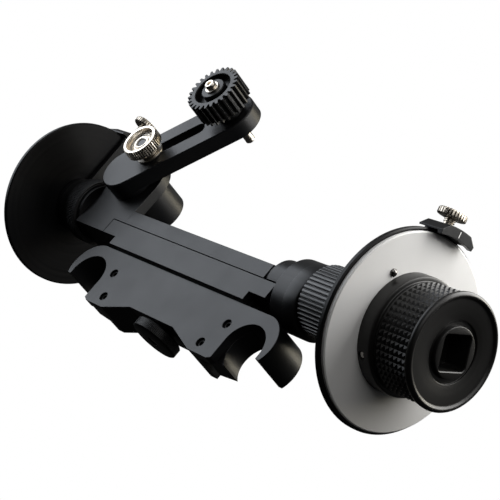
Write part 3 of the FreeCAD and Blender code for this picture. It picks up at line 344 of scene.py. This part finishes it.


# in each satin finish the third colour is that of its broken edges; where it is paler, that is
# partly edge wear and partly painted highlight
black_tone, black_cloud = (0.0038, 0.004, 0.0048), (0.0055, 0.0058, 0.0066)
black_anodised = satin_finish(
    "satin black anodised", black_tone, black_cloud, (0.035, 0.035, 0.037),
    rough=0.40, rough_play=0.03, grain_depth=0.000006, level=0.34)
blackened_steel = satin_finish(
    "blackened screw steel", (0.004, 0.004, 0.004), (0.006, 0.0058, 0.0055), (0.02, 0.019, 0.018),
    rough=0.42, rough_play=0.06, grain_depth=0.000004, level=0.22)
finish_nodes(black_anodised, "rod_bracket")
finish_nodes(blackened_steel, "bracket_screw_1", "bracket_screw_2", "bracket_screw_3",
             "bracket_screw_4")

# ------------------------------------------------------------------ rod clamp
# The hand knob is turned from aluminium with a fine straight knurl, anodised
# black and pressed on its steel screw. The screw moves a hardened wedge that
# spreads the two anodised jaws against the rods.
groove_margin = 0.04 * MM

# lathe lines round an axis, for everything that came off a lathe, and a mask
# of the painted shade in the grooves between ribs, from a groove's floor out to
# its crest; where nothing else is given, both lie a metre and more outside the
# piece
lathe_lines, given, gives = group_tree(
    "lathe lines",
    (("Vector", "Vector", None), ("Centre", "Vector", None), ("Axis", "Vector", None),
     ("Pitch", "Float", 0.00015), ("Floor", "Float", 1.0), ("Crest", "Float", 2.0)),
    (("Height", "Float"), ("Streaks", "Float"), ("Grooves", "Float")))
offset = vector_node(lathe_lines, "SUBTRACT", given["Vector"], given["Centre"]).outputs[0]
along = vector_node(lathe_lines, "DOT_PRODUCT", offset, given["Axis"]).outputs["Value"]
lengthwise = node_of(lathe_lines, "ShaderNodeVectorMath", {"operation": "SCALE"})
link(lathe_lines, given["Axis"], lengthwise.inputs[0])
link(lathe_lines, along, lengthwise.inputs["Scale"])
outwards = vector_node(lathe_lines, "SUBTRACT", offset, lengthwise.outputs[0]).outputs[0]
radius = vector_node(lathe_lines, "LENGTH", outwards).outputs["Value"]
run = math_node(lathe_lines, "DIVIDE", math_node(lathe_lines, "ADD", along, radius), given["Pitch"])
lines = node_of(lathe_lines, "ShaderNodeTexNoise", {"noise_dimensions": "1D"},
                Scale=1.0, Detail=3.0, Roughness=0.7)
link(lathe_lines, run, lines.inputs["W"])
bands = node_of(lathe_lines, "ShaderNodeTexNoise", {"noise_dimensions": "1D"},
                Scale=0.12, Detail=2.0)
link(lathe_lines, run, bands.inputs["W"])
link(lathe_lines, lines.outputs[0], gives["Height"])
link(lathe_lines, bands.outputs[0], gives["Streaks"])
depth_share = node_of(lathe_lines, "ShaderNodeMapRange", To_Min=1.0, To_Max=0.0)
link(lathe_lines, radius, depth_share.inputs["Value"])
link(lathe_lines, given["Floor"], depth_share.inputs["From Min"])
link(lathe_lines, given["Crest"], depth_share.inputs["From Max"])
inner_edge = math_node(lathe_lines, "SUBTRACT", given["Floor"], groove_margin)
in_ribs = math_node(lathe_lines, "GREATER_THAN", radius, inner_edge)
link(lathe_lines, math_node(lathe_lines, "MULTIPLY", depth_share.outputs["Result"], in_ribs),
     gives["Grooves"])


def turned_metal(name, centre, axis, tone, streak_tone, rough, rough_play, line_depth,
                 metallic=1.0, edge_wear_and_highlight=None, edge_radius=0.00015, level=0.5, grooves=None):
    """Metal off the lathe: fine lines round its axis and bands of finer and coarser cut.

    The last argument gives the floor, the crest and the tone of the painted shade that darkens the
    grooves between ribs.
    """
    material, tree, output = empty_material(name)
    spot = node_of(tree, "ShaderNodeTexCoord")
    cut = place_group(tree, lathe_lines, Vector=spot.outputs["Object"],
                      Centre=tuple(centre), Axis=tuple(axis))
    edge = place_group(tree, broken_edge, Radius=edge_radius)
    skin = node_of(tree, "ShaderNodeBsdfPrincipled", Metallic=metallic)
    skin.inputs["Specular IOR Level"].default_value = level
    body = mix_colour(tree, cut.outputs["Streaks"], tone, streak_tone)
    # paler edges: partly edge wear, partly painted highlight
    body = mix_colour(tree, edge.outputs["Edge"], body, edge_wear_and_highlight or tone)
    # painted shade: the grooves between ribs darken towards their floor
    if grooves:
        cut.inputs["Floor"].default_value, cut.inputs["Crest"].default_value = grooves[:2]
        body = mix_colour(tree, cut.outputs["Grooves"], body, grooves[2])
    join_skin(tree, skin, body, cut.outputs["Streaks"], rough, rough_play,
              cut.outputs["Height"], line_depth, edge.outputs["Normal"])
    link(tree, skin.outputs[0], output.inputs["Surface"])
    return material


def middle_of(name):
    """The middle of a node's box."""
    low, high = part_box(name)
    return (low + high) / 2


SHARP_FROM = 35.0
WELD_REACH = 0.001 * MM


def new_piece(name, points, faces, sharp_from=SHARP_FROM):
    """A mesh piece in the unit's frame, smooth but for edges of an angle or more."""
    mesh = bpy.data.meshes.new(name)
    mesh.from_pydata(points, [], faces)
    mesh.validate()
    mesh.update()
    mesh.set_sharp_from_angle(angle=math.radians(sharp_from))
    made = bpy.data.objects.new(name, mesh)
    bpy.context.scene.collection.objects.link(made)
    return made


def cross_axes(axis):
    """Two directions square to an axis and to each other, the first of them level."""
    level = ALONG_X if abs(axis.dot(UP)) > 0.9 else axis.cross(UP).normalized()
    return level, axis.cross(level)


def lathe(name, centre, axis, profile, steps, shape=None):
    """Turns a closed profile of (along, radius) about an axis through centre.

    shape(angle, row, radius) gives the radius where it isn't round.
    """
    side, up = cross_axes(axis)
    points, faces = [], []
    rows = len(profile)
    for step in range(steps):
        angle = math.tau * step / steps
        ray = side * math.cos(angle) + up * math.sin(angle)
        for row, (along, radius) in enumerate(profile):
            reach = shape(angle, row, radius) if shape else radius
            points.append(centre + axis * along + ray * reach)
    for step in range(steps):
        here, there = step * rows, (step + 1) % steps * rows
        for row in range(rows):
            after = (row + 1) % rows
            faces.append((here + row, here + after, there + after, there + row))
    piece = new_piece(name, points, faces)
    # weld the points on the axis, drop the faces that closed up, turn the rest outwards
    shell = bmesh.new()
    shell.from_mesh(piece.data)
    bmesh.ops.remove_doubles(shell, verts=shell.verts, dist=WELD_REACH)
    bmesh.ops.recalc_face_normals(shell, faces=shell.faces)
    shell.to_mesh(piece.data)
    shell.free()
    piece.data.set_sharp_from_angle(angle=math.radians(SHARP_FROM))
    return piece


def ribbed_rim(rows, ribs, depth, gap):
    """A straight knurl on some rows of a profile; gap is the share of its pitch cut away."""
    def shape(angle, row, radius):
        if row not in rows:
            return radius
        place = (angle / math.tau * ribs) % 1.0
        return radius - (depth if min(place, 1.0 - place) < gap / 2 else 0.0)
    return shape


def set_piece(piece, material, body, slot, *replaced):
    """Gives a new piece its finish, its body and the CAD nodes that it stands for."""
    piece.data.materials.append(material)
    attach(piece, body)
    if replaced:
        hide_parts(*replaced)


UP, ALONG_X, FORWARD = Vector((0, 0, 1)), Vector((1, 0, 0)), Vector((0, -1, 0))
clamp_middle = middle_of("clamp_knob")
finish_nodes(black_anodised, "clamp_jaw_right", "clamp_jaw_left")
finish_nodes(turned_metal(
    "ground clamp steel", clamp_middle, UP, (0.42, 0.41, 0.40), (0.5, 0.49, 0.47),
    0.3, 0.05, 0.000003),
    "clamp_screw", "clamp_wedge")
clamp_low, clamp_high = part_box("clamp_knob")
clamp_foot = Vector((clamp_middle.x, clamp_middle.y, clamp_low.z))
clamp_half, clamp_rim_tall = 9.9 * MM, 4.4 * MM
clamp_neck_half, clamp_tall = 5.0 * MM, clamp_high.z - clamp_low.z
clamp_ribs, clamp_rib_deep, clamp_rim_rows = 96, 0.2 * MM, (3, 4)
clamp_bore = min((point.co - clamp_foot).xy.length for point in nodes["clamp_knob"].data.vertices)
clamp_grip = lathe("clamp_knob_knurled", clamp_foot, UP, [
    (0.0, clamp_bore), (0.0, clamp_half - 1.0 * MM), (0.15 * MM, clamp_half - 0.6 * MM),
    (0.6 * MM, clamp_half), (clamp_rim_tall - 0.5 * MM, clamp_half),
    (clamp_rim_tall, clamp_half - 0.6 * MM), (clamp_rim_tall, clamp_neck_half),
    (clamp_tall, clamp_neck_half), (clamp_tall, clamp_bore)],
    clamp_ribs * 4, ribbed_rim(clamp_rim_rows, clamp_ribs, clamp_rib_deep, gap=0.3))
set_piece(clamp_grip, satin_finish(
    "knurled clamp black", (0.0038, 0.004, 0.0045), (0.0055, 0.0058, 0.0062), (0.02, 0.02, 0.021),
    rough=0.42, rough_play=0.03, grain_depth=0.000006, level=0.34, edge_radius=0.00006),
    "clamp", "black_anodised", "clamp_knob")

# ------------------------------------------------------------------ main body
# The long bar that carries the shaft, with a plate screwed to its front and a
# stop screw in the end of its rail. Bar and plate are milled and anodised like
# the bracket.
finish_nodes(black_anodised, "housing", "front_plate")
finish_nodes(blackened_steel, "stop_screw")
shaft_middle = middle_of("main_shaft")


def on_shaft(x):
    """The point of the shaft's axis at x."""
    return Vector((x, shaft_middle.y, shaft_middle.z))


def slab(name, corners):
    """A plain slab from four corners of one face and the four across from them."""
    return new_piece(name, corners, [
        (3, 2, 1, 0), (4, 5, 6, 7), (0, 1, 5, 4), (1, 2, 6, 5), (2, 3, 7, 6), (3, 0, 4, 7)])


# the plate butts against a step in the gearbox's base, and the open joint at its
# left end is a hairline groove filled with shadow
plate_low, plate_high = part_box("front_plate")
joint_wide, joint_foot, joint_top = 0.42 * MM, 19.6 * MM, plate_high.z
joint_depths = (0.1 * MM, -0.01 * MM)
joint_corners = [Vector((plate_low.x + side_of * joint_wide / 2, plate_low.y + depth, height))
                 for depth in joint_depths
                 for height, side_of in ((joint_foot, -1), (joint_foot, 1),
                                         (joint_top, 1), (joint_top, -1))]
joint = slab("plate_joint", joint_corners)
joint_shadow = satin_finish(
    "shadow in a joint", (0.002, 0.002, 0.002), (0.003, 0.003, 0.003), (0.002, 0.002, 0.002),
    rough=0.9, rough_play=0.05, grain_depth=0.0, level=0.0, edge_radius=0.00001)
set_piece(joint, joint_shadow, "base", "black_anodised")

# the bar's right boss, milled with two lobes one above the other, runs on over
# its collar until it almost touches the pointer hub
lobe_half = 12.83 * MM
lobe_drops = (0.4 * MM, 2.6 * MM)
collar_half = 10.9 * MM
boss_end, hub_start, hub_gap = 57.0 * MM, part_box("pointer_hub_right")[0].x, 0.3 * MM
run_on = hub_start - hub_gap - boss_end


def two_lobes(angle, row, radius):
    """The outline round both lobes, from the shaft's axis; the bore stays round."""
    if radius <= collar_half:
        return radius
    rise = -math.sin(angle)
    inwards = lobe_half - radius
    return max(-rise * drop + math.sqrt(lobe_half ** 2 - drop ** 2 + (rise * drop) ** 2)
               for drop in lobe_drops) - inwards


boss_on = lathe("boss_over_collar", on_shaft(boss_end), ALONG_X, [
    (0.0, collar_half), (0.0, lobe_half - 0.05 * MM), (0.7 * MM, lobe_half),
    (run_on - 0.5 * MM, lobe_half), (run_on - 0.15 * MM, lobe_half - 0.15 * MM),
    (run_on, lobe_half - 0.5 * MM), (run_on, collar_half)], steps=128, shape=two_lobes)
set_piece(boss_on, black_anodised, "base", "black_anodised")

# ------------------------------------------------------------------ shaft and bushes
# A ground steel shaft in two pressed brass bushes; both are seen only when the
# unit is taken apart.
finish_nodes(turned_metal(
    "ground shaft steel", shaft_middle, ALONG_X, (0.55, 0.55, 0.56), (0.62, 0.62, 0.63),
    0.22, 0.04, 0.000002),
    "main_shaft")
finish_nodes(turned_metal(
    "bush brass", shaft_middle, ALONG_X, (0.72, 0.52, 0.24), (0.62, 0.44, 0.20),
    0.3, 0.05, 0.000003),
    "bush_right", "bush_left")

# ------------------------------------------------------------------ gearbox
# The box at the left end stands over the shaft, with the drum that holds the
# crossed gears behind it, the drum's pressed cover, and the anodised ring on
# which the arm swings.
pivot = middle_of("output_shaft")
finish_nodes(black_anodised, "gearbox_housing", "drum_cover", "pivot_ring")
finish_nodes(turned_metal(
    "output shaft steel", pivot, FORWARD, (0.55, 0.55, 0.56), (0.62, 0.62, 0.63),
    0.25, 0.04, 0.000002),
    "output_shaft")

# ------------------------------------------------------------------ swing arm
# One flat bar with round ends and a long slot, its front edge bevelled all
# round, anodised like the body.
finish_nodes(black_anodised, "swing_arm")

# ------------------------------------------------------------------ lock knob
# Turned from brass and nickel plated: a straight-knurled rim with a flat front,
# a cup with two raised rings in it, and the end of its steel stud in the middle.
lock_low, lock_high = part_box("lock_knob")
lock_middle = middle_of("lock_knob")
lock_face = Vector((lock_middle.x, lock_low.y, lock_middle.z))
lock_half = (lock_high.x - lock_low.x) / 2
lock_back = lock_high.y - lock_low.y
lock_grip = 4.75 * MM
lock_ribs, lock_rib_deep, lock_rim_rows = 46, 0.45 * MM, (18, 19, 20, 21)
lock_bore = 2.02 * MM
nickel_tone, nickel_streak = (0.76, 0.70, 0.61), (0.84, 0.78, 0.69)
# nickel painted paler along broken edges: partly edge wear, partly painted highlight
nickel_edge_wear_and_highlight = (0.90, 0.86, 0.79)
lock_nickel = turned_metal(
    "nickel plate on the lock knob", lock_face, FORWARD, nickel_tone, nickel_streak, 0.27, 0.05,
    0.000001, edge_wear_and_highlight=nickel_edge_wear_and_highlight, edge_radius=0.00004,
    # painted shade: the grooves between the rim's ribs darken towards their floor
    grooves=(lock_half - lock_rib_deep, lock_half - 0.1 * MM, (0.05, 0.04, 0.03)))
lock_profile = [
    (-1.9 * MM, lock_bore), (-1.65 * MM, 2.4 * MM), (-1.5 * MM, 2.7 * MM), (-1.5 * MM, 3.15 * MM),
    (-1.75 * MM, 3.4 * MM), (-2.35 * MM, 3.55 * MM), (-2.35 * MM, 4.0 * MM),
    (-2.0 * MM, 4.2 * MM), (-1.85 * MM, 4.5 * MM), (-2.0 * MM, 4.8 * MM), (-2.55 * MM, 5.0 * MM),
    (-2.6 * MM, 5.7 * MM), (-2.35 * MM, 6.05 * MM), (-1.9 * MM, 6.2 * MM),
    (-0.35 * MM, 6.3 * MM), (-0.08 * MM, 6.42 * MM), (0.0, 6.65 * MM),
    (0.0, lock_half - 0.55 * MM), (-0.12 * MM, lock_half - 0.25 * MM),
    (-0.4 * MM, lock_half), (-lock_grip + 0.4 * MM, lock_half),
    (-lock_grip, lock_half - 0.6 * MM), (-lock_grip, 4.5 * MM),
    (-lock_grip - 0.2 * MM, 4.3 * MM), (-lock_back + 0.2 * MM, 4.3 * MM),
    (-lock_back, 4.1 * MM), (-lock_back, lock_bore),
]
lock_knob = lathe("lock_knob_plated", lock_face, FORWARD, lock_profile, lock_ribs * 6,
                  ribbed_rim(lock_rim_rows, lock_ribs, lock_rib_deep, gap=0.4))
set_piece(lock_knob, lock_nickel, "lock", "nickel", "lock_knob")
# the stud's and the washer's edges are painted much paler than their steel, partly edge wear and
# partly painted highlight
finish_nodes(turned_metal(
    "lock stud steel", lock_face, FORWARD, (0.07, 0.07, 0.072), (0.10, 0.10, 0.102),
    0.42, 0.05, 0.000003, edge_wear_and_highlight=(0.3, 0.3, 0.3)), "lock_stud")
finish_nodes(turned_metal(
    "lock washer steel", lock_face, FORWARD, (0.26, 0.24, 0.21), (0.32, 0.30, 0.27),
    0.34, 0.05, 0.000003, edge_wear_and_highlight=(0.5, 0.47, 0.42)), "lock_washer")

# ------------------------------------------------------------------ drive gear
# Moulded black acetal with a deep ring groove in its face, clamped on its steel
# axle by a nickel-plated socket screw and washer.
gear_plastic = satin_finish(
    "moulded black acetal", (0.0035, 0.0035, 0.0038), (0.005, 0.005, 0.0053), (0.016, 0.016, 0.017),
    rough=0.38, rough_play=0.05, grain_depth=0.000004, level=0.36, edge_radius=0.00015)
finish_nodes(gear_plastic, "drive_gear", "gear_spacer")
gear_middle = middle_of("gear_axle")
gear_nickel = turned_metal(
    "nickel plate at the gear", gear_middle, FORWARD, nickel_tone, nickel_streak, 0.24, 0.05,
    0.0000015, edge_wear_and_highlight=nickel_edge_wear_and_highlight)
finish_nodes(gear_nickel, "gear_screw", "gear_washer", "gear_axle")

# ------------------------------------------------------------------ wheels and marking discs
# Each wheel is a turned and anodised aluminium plate, and its marking disc is a
# satin white plastic ring laid in front of it, to be written on and wiped. One
# domed pin keeps the ring from turning.
disc_white = satin_finish(
    "marking disc white", (0.76, 0.757, 0.75), (0.80, 0.797, 0.79), (0.84, 0.84, 0.83),
    rough=0.38, rough_play=0.04, grain_depth=0.000003, level=0.45, edge_radius=0.00015)
wheel_black = turned_metal(
    "turned black wheel", shaft_middle, ALONG_X, (0.0042, 0.0042, 0.0047), (0.006, 0.006, 0.0066),
    0.36, 0.05, 0.000004, metallic=0.0, edge_wear_and_highlight=(0.035, 0.035, 0.035), level=0.18)
pin_steel = turned_metal(
    "index pin steel", shaft_middle, ALONG_X, (0.12, 0.115, 0.11), (0.15, 0.145, 0.14),
    0.20, 0.03, 0.000001)
for side in ("right", "left"):
    finish_nodes(disc_white, "marking_disc_" + side)
    finish_nodes(wheel_black, "wheel_" + side)
    finish_nodes(pin_steel, "index_pin_" + side)

# ------------------------------------------------------------------ knobs
# Turned aluminium, cut into square studs between a smooth flange and a rounded
# lip, with a sunk face, then anodised black. A set screw in the flange holds the
# knob on the shaft.
stud_columns, stud_rows, stud_land = 52, 7, 0.2
stud_deep = 0.7 * MM
stud_top = 19.4 * MM
stud_core = stud_top - stud_deep
neck_half = 19.0 * MM
stud_start, stud_end = 8.3 * MM, 22.4 * MM
flange_start, flange_end = 0.9 * MM, 7.0 * MM
lip_half, lip_start = 20.1 * MM, 22.8 * MM
moat_half = 10.6 * MM
boss_half, boss_deep = 9.0 * MM, 10.6 * MM
grub_half, grub_long, grub_hole_deep = 1.5 * MM, 5.3 * MM, 5.6 * MM
shaft_hole_half, recess_half = 4.1 * MM, 13.3 * MM
turned_steps, small_steps = 160, 32
knob_black = turned_metal(
    "turned black knob", shaft_middle, ALONG_X, (0.0055, 0.0053, 0.0052), (0.007, 0.0067, 0.0064),
    0.36, 0.02, 0.0000015, metallic=0.0, edge_wear_and_highlight=(0.03, 0.029, 0.027), level=0.45)
stud_black = satin_finish(
    "studded black grip", (0.004, 0.004, 0.0043), (0.006, 0.006, 0.0063), (0.02, 0.02, 0.02),
    rough=0.34, rough_play=0.04, grain_depth=0.0000015, level=0.30, edge_radius=0.00005)
grub_steel = turned_metal(
    "grub screw steel", shaft_middle, ALONG_X, (0.50, 0.48, 0.45), (0.56, 0.54, 0.51),
    0.24, 0.04, 0.000001)


def studded_band(name, centre, axis, start, end, top, deep, columns, rows, land):
    """A band of square studs: V grooves along the axis, crossed by V grooves round it."""
    side, up = cross_axes(axis)
    # each stud has three stations across: its groove, and the two edges of its flat top
    cuts = (0.0, 0.5 - land / 2, 0.5 + land / 2)
    runs = [start + (end - start) * (row + cut) / rows for row in range(rows) for cut in cuts]
    runs.append(end)
    turns = [math.tau * (column + cut) / columns for column in range(columns) for cut in cuts]
    points, faces = [], []
    for row, run in enumerate(runs):
        for column, angle in enumerate(turns):
            reach = top if row % 3 and column % 3 else top - deep
            ray = side * math.cos(angle) + up * math.sin(angle)
            points.append(centre + axis * run + ray * reach)
    wide = len(turns)
    for row in range(len(runs) - 1):
        for column in range(wide):
            a, b = row * wide + column, row * wide + (column + 1) % wide
            c, d = b + wide, a + wide
            # a stud's corners fall off along its hips
            if (row % 3 == 0) == (column % 3 == 0):
                faces += [(a, b, c), (a, c, d)]
            else:
                faces += [(a, b, d), (b, c, d)]
    return new_piece(name, points, faces, sharp_from=1.0)


def drill(piece, mouth, way, radius, depth):
    """Takes a blind round hole out of a piece, inwards from its mouth."""
    bit = bpy.data.meshes.new("bit")
    shell = bmesh.new()
    turn = way.to_track_quat("Z", "Y").to_matrix().to_4x4()
    bmesh.ops.create_cone(shell, cap_ends=True, segments=small_steps, radius1=radius,
                          radius2=radius, depth=depth * 2,
                          matrix=Matrix.Translation(mouth) @ turn)
    shell.to_mesh(bit)
    shell.free()
    tool = bpy.data.objects.new("bit", bit)
    bpy.context.scene.collection.objects.link(tool)
    hole = piece.modifiers.new("hole", "BOOLEAN")
    hole.object, hole.operation, hole.solver = tool, "DIFFERENCE", "EXACT"
    seen = piece.evaluated_get(bpy.context.evaluated_depsgraph_get())
    piece.data = bpy.data.meshes.new_from_object(seen)
    piece.modifiers.clear()
    bpy.data.objects.remove(tool)
    piece.data.set_sharp_from_angle(angle=math.radians(SHARP_FROM))


def rounded_square(angle, half, corner):
    """How far a square with round corners reaches; the corners lie on the cross axes."""
    turn = abs((angle + math.pi / 2) % (math.pi / 2) - math.pi / 4)
    if math.tan(turn) * half <= half - corner:
        return half / math.cos(turn)
    inset = half - corner
    on_ray = inset * (math.cos(turn) + math.sin(turn))
    return on_ray + math.sqrt(corner ** 2 - 2 * inset ** 2 + on_ray ** 2)


# the boss in the knob's face is a piece of its own, with the square socket for a
# crank or whip broached into it
socket_half, socket_corner, socket_chamfer = 6.1 * MM, 1.5 * MM, 0.3 * MM
socket_floor = 1.2 * MM
socket_turn = math.radians(9)
chamfer_row, wall_rows = 6, (7, 8)


def socket_shape(turn):
    """The boss's rows that belong to its square socket, at an angle about the shaft."""
    def shape(angle, row, radius):
        if row == chamfer_row:
            return rounded_square(angle + turn, socket_half + socket_chamfer,
                                  socket_corner + socket_chamfer)
        if row in wall_rows:
            return rounded_square(angle + turn, socket_half, socket_corner)
        return radius
    return shape


for side, way in (("right", 1), ("left", -1)):
    low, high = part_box("knob_" + side)
    axis = ALONG_X * way
    tip = high.x - low.x
    centre = on_shaft(low.x if way > 0 else high.x)
    flange_half = (high.z - low.z) / 2
    # back, flange, neck, core under the studs, rounded lip, sunk face, moat, seat of the boss
    profile = [
        (0.0, shaft_hole_half), (0.0, recess_half), (flange_start, recess_half + 0.05 * MM),
        (flange_start, flange_half - 0.25 * MM), (flange_start + 0.25 * MM, flange_half),
        (flange_end - 0.6 * MM, flange_half),
        (flange_end - 0.2 * MM, flange_half - 0.14 * MM), (flange_end, flange_half - 0.5 * MM),
        (flange_end, neck_half + 0.2 * MM), (flange_end + 0.2 * MM, neck_half),
        (stud_start - 0.2 * MM, neck_half), (stud_start, stud_core),
        (stud_end, stud_core), (stud_end + 0.15 * MM, neck_half - 0.05 * MM),
        (lip_start - 0.05 * MM, neck_half), (lip_start, lip_half - 0.5 * MM),
        (lip_start + 0.12 * MM, lip_half - 0.2 * MM), (lip_start + 0.35 * MM, lip_half - 0.04 * MM),
        (lip_start + 0.7 * MM, lip_half), (tip - 1.1 * MM, lip_half - 0.04 * MM),
        (tip - 0.65 * MM, lip_half - 0.22 * MM), (tip - 0.3 * MM, lip_half - 0.52 * MM),
        (tip - 0.08 * MM, lip_half - 0.85 * MM), (tip, lip_half - 1.15 * MM),
        (tip - 0.04 * MM, lip_half - 1.4 * MM), (tip - 0.2 * MM, lip_half - 1.65 * MM),
        (tip - 0.55 * MM, lip_half - 1.9 * MM), (tip - 0.82 * MM, lip_half - 2.2 * MM),
        (tip - 0.9 * MM, lip_half - 2.6 * MM), (tip - 0.9 * MM, moat_half + 0.35 * MM),
        (tip - 1.05 * MM, moat_half + 0.08 * MM), (tip - 1.6 * MM, moat_half),
        (tip - 1.7 * MM, moat_half - 0.1 * MM),
        (tip - 1.7 * MM, boss_half + 0.03 * MM), (tip - boss_deep, boss_half + 0.03 * MM),
        (tip - boss_deep, shaft_hole_half),
    ]
    knob = lathe("grip_knob_" + side, centre, axis, profile, turned_steps)
    grub_low, grub_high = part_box("set_screw_" + side)
    grub_middle = (grub_low + grub_high) / 2
    outwards = Vector((0, grub_middle.y - centre.y, grub_middle.z - centre.z)).normalized()
    mouth = on_shaft(grub_middle.x) + outwards * flange_half
    drill(knob, mouth, outwards, grub_half, grub_hole_deep)
    set_piece(knob, knob_black, "drive", "knob_black", "knob_" + side)
    studs = studded_band("studded_band_" + side, centre, axis, stud_start, stud_end,
                         stud_top, stud_deep, stud_columns, stud_rows, stud_land)
    set_piece(studs, stud_black, "drive", "knob_black")
    boss_profile = [
        (0.0, 0.0), (0.0, boss_half), (boss_deep - 0.8 * MM, boss_half),
        (boss_deep - 0.4 * MM, boss_half - 0.08 * MM),
        (boss_deep - 0.1 * MM, boss_half - 0.28 * MM),
        (boss_deep, boss_half - 0.55 * MM), (boss_deep, socket_half),
        (boss_deep - socket_chamfer, socket_half), (socket_floor, socket_half), (socket_floor, 0.0),
    ]
    boss = lathe("drive_boss_" + side, centre + axis * (tip - boss_deep), axis, boss_profile,
                 turned_steps, socket_shape(socket_turn * way))
    set_piece(boss, knob_black, "drive", "knob_black", "drive_socket_" + side)
    grub = lathe("grub_screw_" + side, mouth, outwards, [
        (-grub_long, 0.0), (-grub_long, grub_half - 0.03 * MM),
        (-0.75 * MM, grub_half - 0.03 * MM), (-0.45 * MM, 1.2 * MM), (-0.25 * MM, 0.85 * MM),
        (-0.12 * MM, 0.45 * MM), (-0.08 * MM, 0.0)], steps=small_steps)
    set_piece(grub, grub_steel, "drive", "dark_steel", "set_screw_" + side)

# ------------------------------------------------------------------ pointers
# A hub turns stiffly on the body's sleeve and carries a web up to the bridge
# that crosses the wheel's rim. All are anodised; the right index has an
# engraved line filled with white, and the left hub a band of fine ribs.
finish_nodes(black_anodised, "pointer_right", "pointer_left")
ribbed_black = satin_finish(
    "black anodised ribs", black_tone, black_cloud, (0.014, 0.014, 0.015),
    rough=0.38, rough_play=0.03, grain_depth=0.000006, level=0.72, edge_radius=0.0005)
finish_nodes(ribbed_black, "pointer_hub_right", "pointer_hub_left")
grip_half, grip_long, grip_bore = 13.85 * MM, 6.4 * MM, 13.0 * MM
grip_ribs, grip_deep, grip_rim_rows = 120, 0.16 * MM, (2, 3)
grip_bevel, grip_inset = 0.3 * MM, 0.1 * MM
grip_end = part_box("pointer_hub_left")[1].x - grip_inset
grip_ring = lathe("hub_grip_left", on_shaft(grip_end), -ALONG_X, [
    (0.0, grip_bore), (0.0, grip_half - grip_bevel), (grip_bevel, grip_half),
    (grip_long - grip_bevel, grip_half), (grip_long, grip_half - grip_bevel),
    (grip_long, grip_bore)],
    grip_ribs * 4, ribbed_rim(grip_rim_rows, grip_ribs, grip_deep, gap=0.3))
set_piece(grip_ring, satin_finish(
    "fine black knurl", (0.006, 0.006, 0.0066), (0.008, 0.008, 0.0088), (0.03, 0.03, 0.032),
    rough=0.42, rough_play=0.03, grain_depth=0.000006, level=0.6, edge_radius=0.00008),
    "pointer_arm_left", "black_anodised")
moves = {joint["name"]: joint for joint in frame["record"]["behaviour"]["joints"]}
line_wide, line_depths = 0.4 * MM, (-0.2 * MM, 0.03 * MM)
line_low, line_high = 35.7 * MM, 37.9 * MM
radial = Vector(moves["thumb_right_turn"]["axis"]).normalized()
across = ALONG_X.cross(radial)
index_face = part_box("pointer_right")[1].x
corners = []
for depth in line_depths:
    for reach, wide in ((line_low, -1), (line_low, 1), (line_high, 1), (line_high, -1)):
        corners.append(on_shaft(index_face + depth)
                       + radial * reach + across * (wide * line_wide / 2))
line = slab("index_line", corners)
set_piece(line, disc_white, "pointer_arm_right", "disc_white")

# ------------------------------------------------------------------ thumbscrews
# Turned steel, nickel plated, with a coarsely ribbed head on a short threaded
# neck; each is screwed through its pointer's bridge.
thumb_half, thumb_tall = 5.2 * MM, 2.6 * MM
thumb_ribs, thumb_rib_deep, thumb_rim_rows = 28, 0.35 * MM, (4, 5, 6, 7)
thread_crest, thread_root, thread_pitch = 2.05 * MM, 1.7 * MM, 0.75 * MM
stem_half = 1.6 * MM
neck_bevel, thread_margin, foot_gap = 0.3 * MM, 0.7 * MM, 0.12 * MM
# above is how far a neck shows between its head and the bridge
for side, above in (("right", 2.7 * MM), ("left", 6.8 * MM)):
    axis = Vector(moves["thumb_%s_turn" % side]["axis"]).normalized()
    seat = Vector(moves["thumb_%s_turn" % side]["pos_m"])
    heights = [(point.co - seat).dot(axis) for point in nodes["thumbscrew_" + side].data.vertices]
    top, end = max(heights), min(heights)
    neck = top - thumb_tall
    profile = [
        (top, 0.0), (top - 0.25 * MM, 3.4 * MM), (top, 3.8 * MM), (top, thumb_half - 0.5 * MM),
        (top - 0.3 * MM, thumb_half - 0.12 * MM), (top - 0.55 * MM, thumb_half),
        (neck + 0.45 * MM, thumb_half), (neck + 0.15 * MM, thumb_half - 0.25 * MM),
        (neck, thumb_half - 0.7 * MM), (neck, 2.5 * MM), (neck - 0.15 * MM, 2.3 * MM),
        (neck - neck_bevel, thread_root),
    ]
    turns_seen = int((above - thread_margin) / thread_pitch)
    for turn_of in range(turns_seen):
        run = neck - neck_bevel - turn_of * thread_pitch
        profile += [(run - 0.18 * MM, thread_root), (run - 0.32 * MM, thread_crest),
                    (run - 0.5 * MM, thread_crest), (run - 0.64 * MM, thread_root)]
    foot = neck - above + foot_gap
    profile += [(foot + 0.1 * MM, thread_root), (foot, 2.3 * MM), (foot - 0.02 * MM, stem_half),
                (end + 0.3 * MM, stem_half), (end, stem_half - 0.3 * MM), (end, 0.0)]
    thumb = lathe("thumbscrew_plated_" + side, seat, axis, profile, thumb_ribs * 8,
                  ribbed_rim(thumb_rim_rows, thumb_ribs, thumb_rib_deep, gap=0.3))
    # the thumbscrews' nickel is a darker copy of the lock knob's: painted shade that keeps the
    # front lamp's highlight on their heads from washing out
    shaded_thumb_nickel = turned_metal(
        "nickel plate on the thumbscrew " + side, seat, axis, (0.50, 0.455, 0.39),
        (0.58, 0.53, 0.455), 0.30, 0.05, 0.000001, edge_wear_and_highlight=(0.66, 0.61, 0.54),
        edge_radius=0.00004,
        # painted shade: the grooves between the head's ribs darken towards their floor
        grooves=(thumb_half - thumb_rib_deep, thumb_half - 0.1 * MM, (0.04, 0.032, 0.024)))
    set_piece(thumb, shaded_thumb_nickel, "thumb_" + side, "nickel", "thumbscrew_" + side)
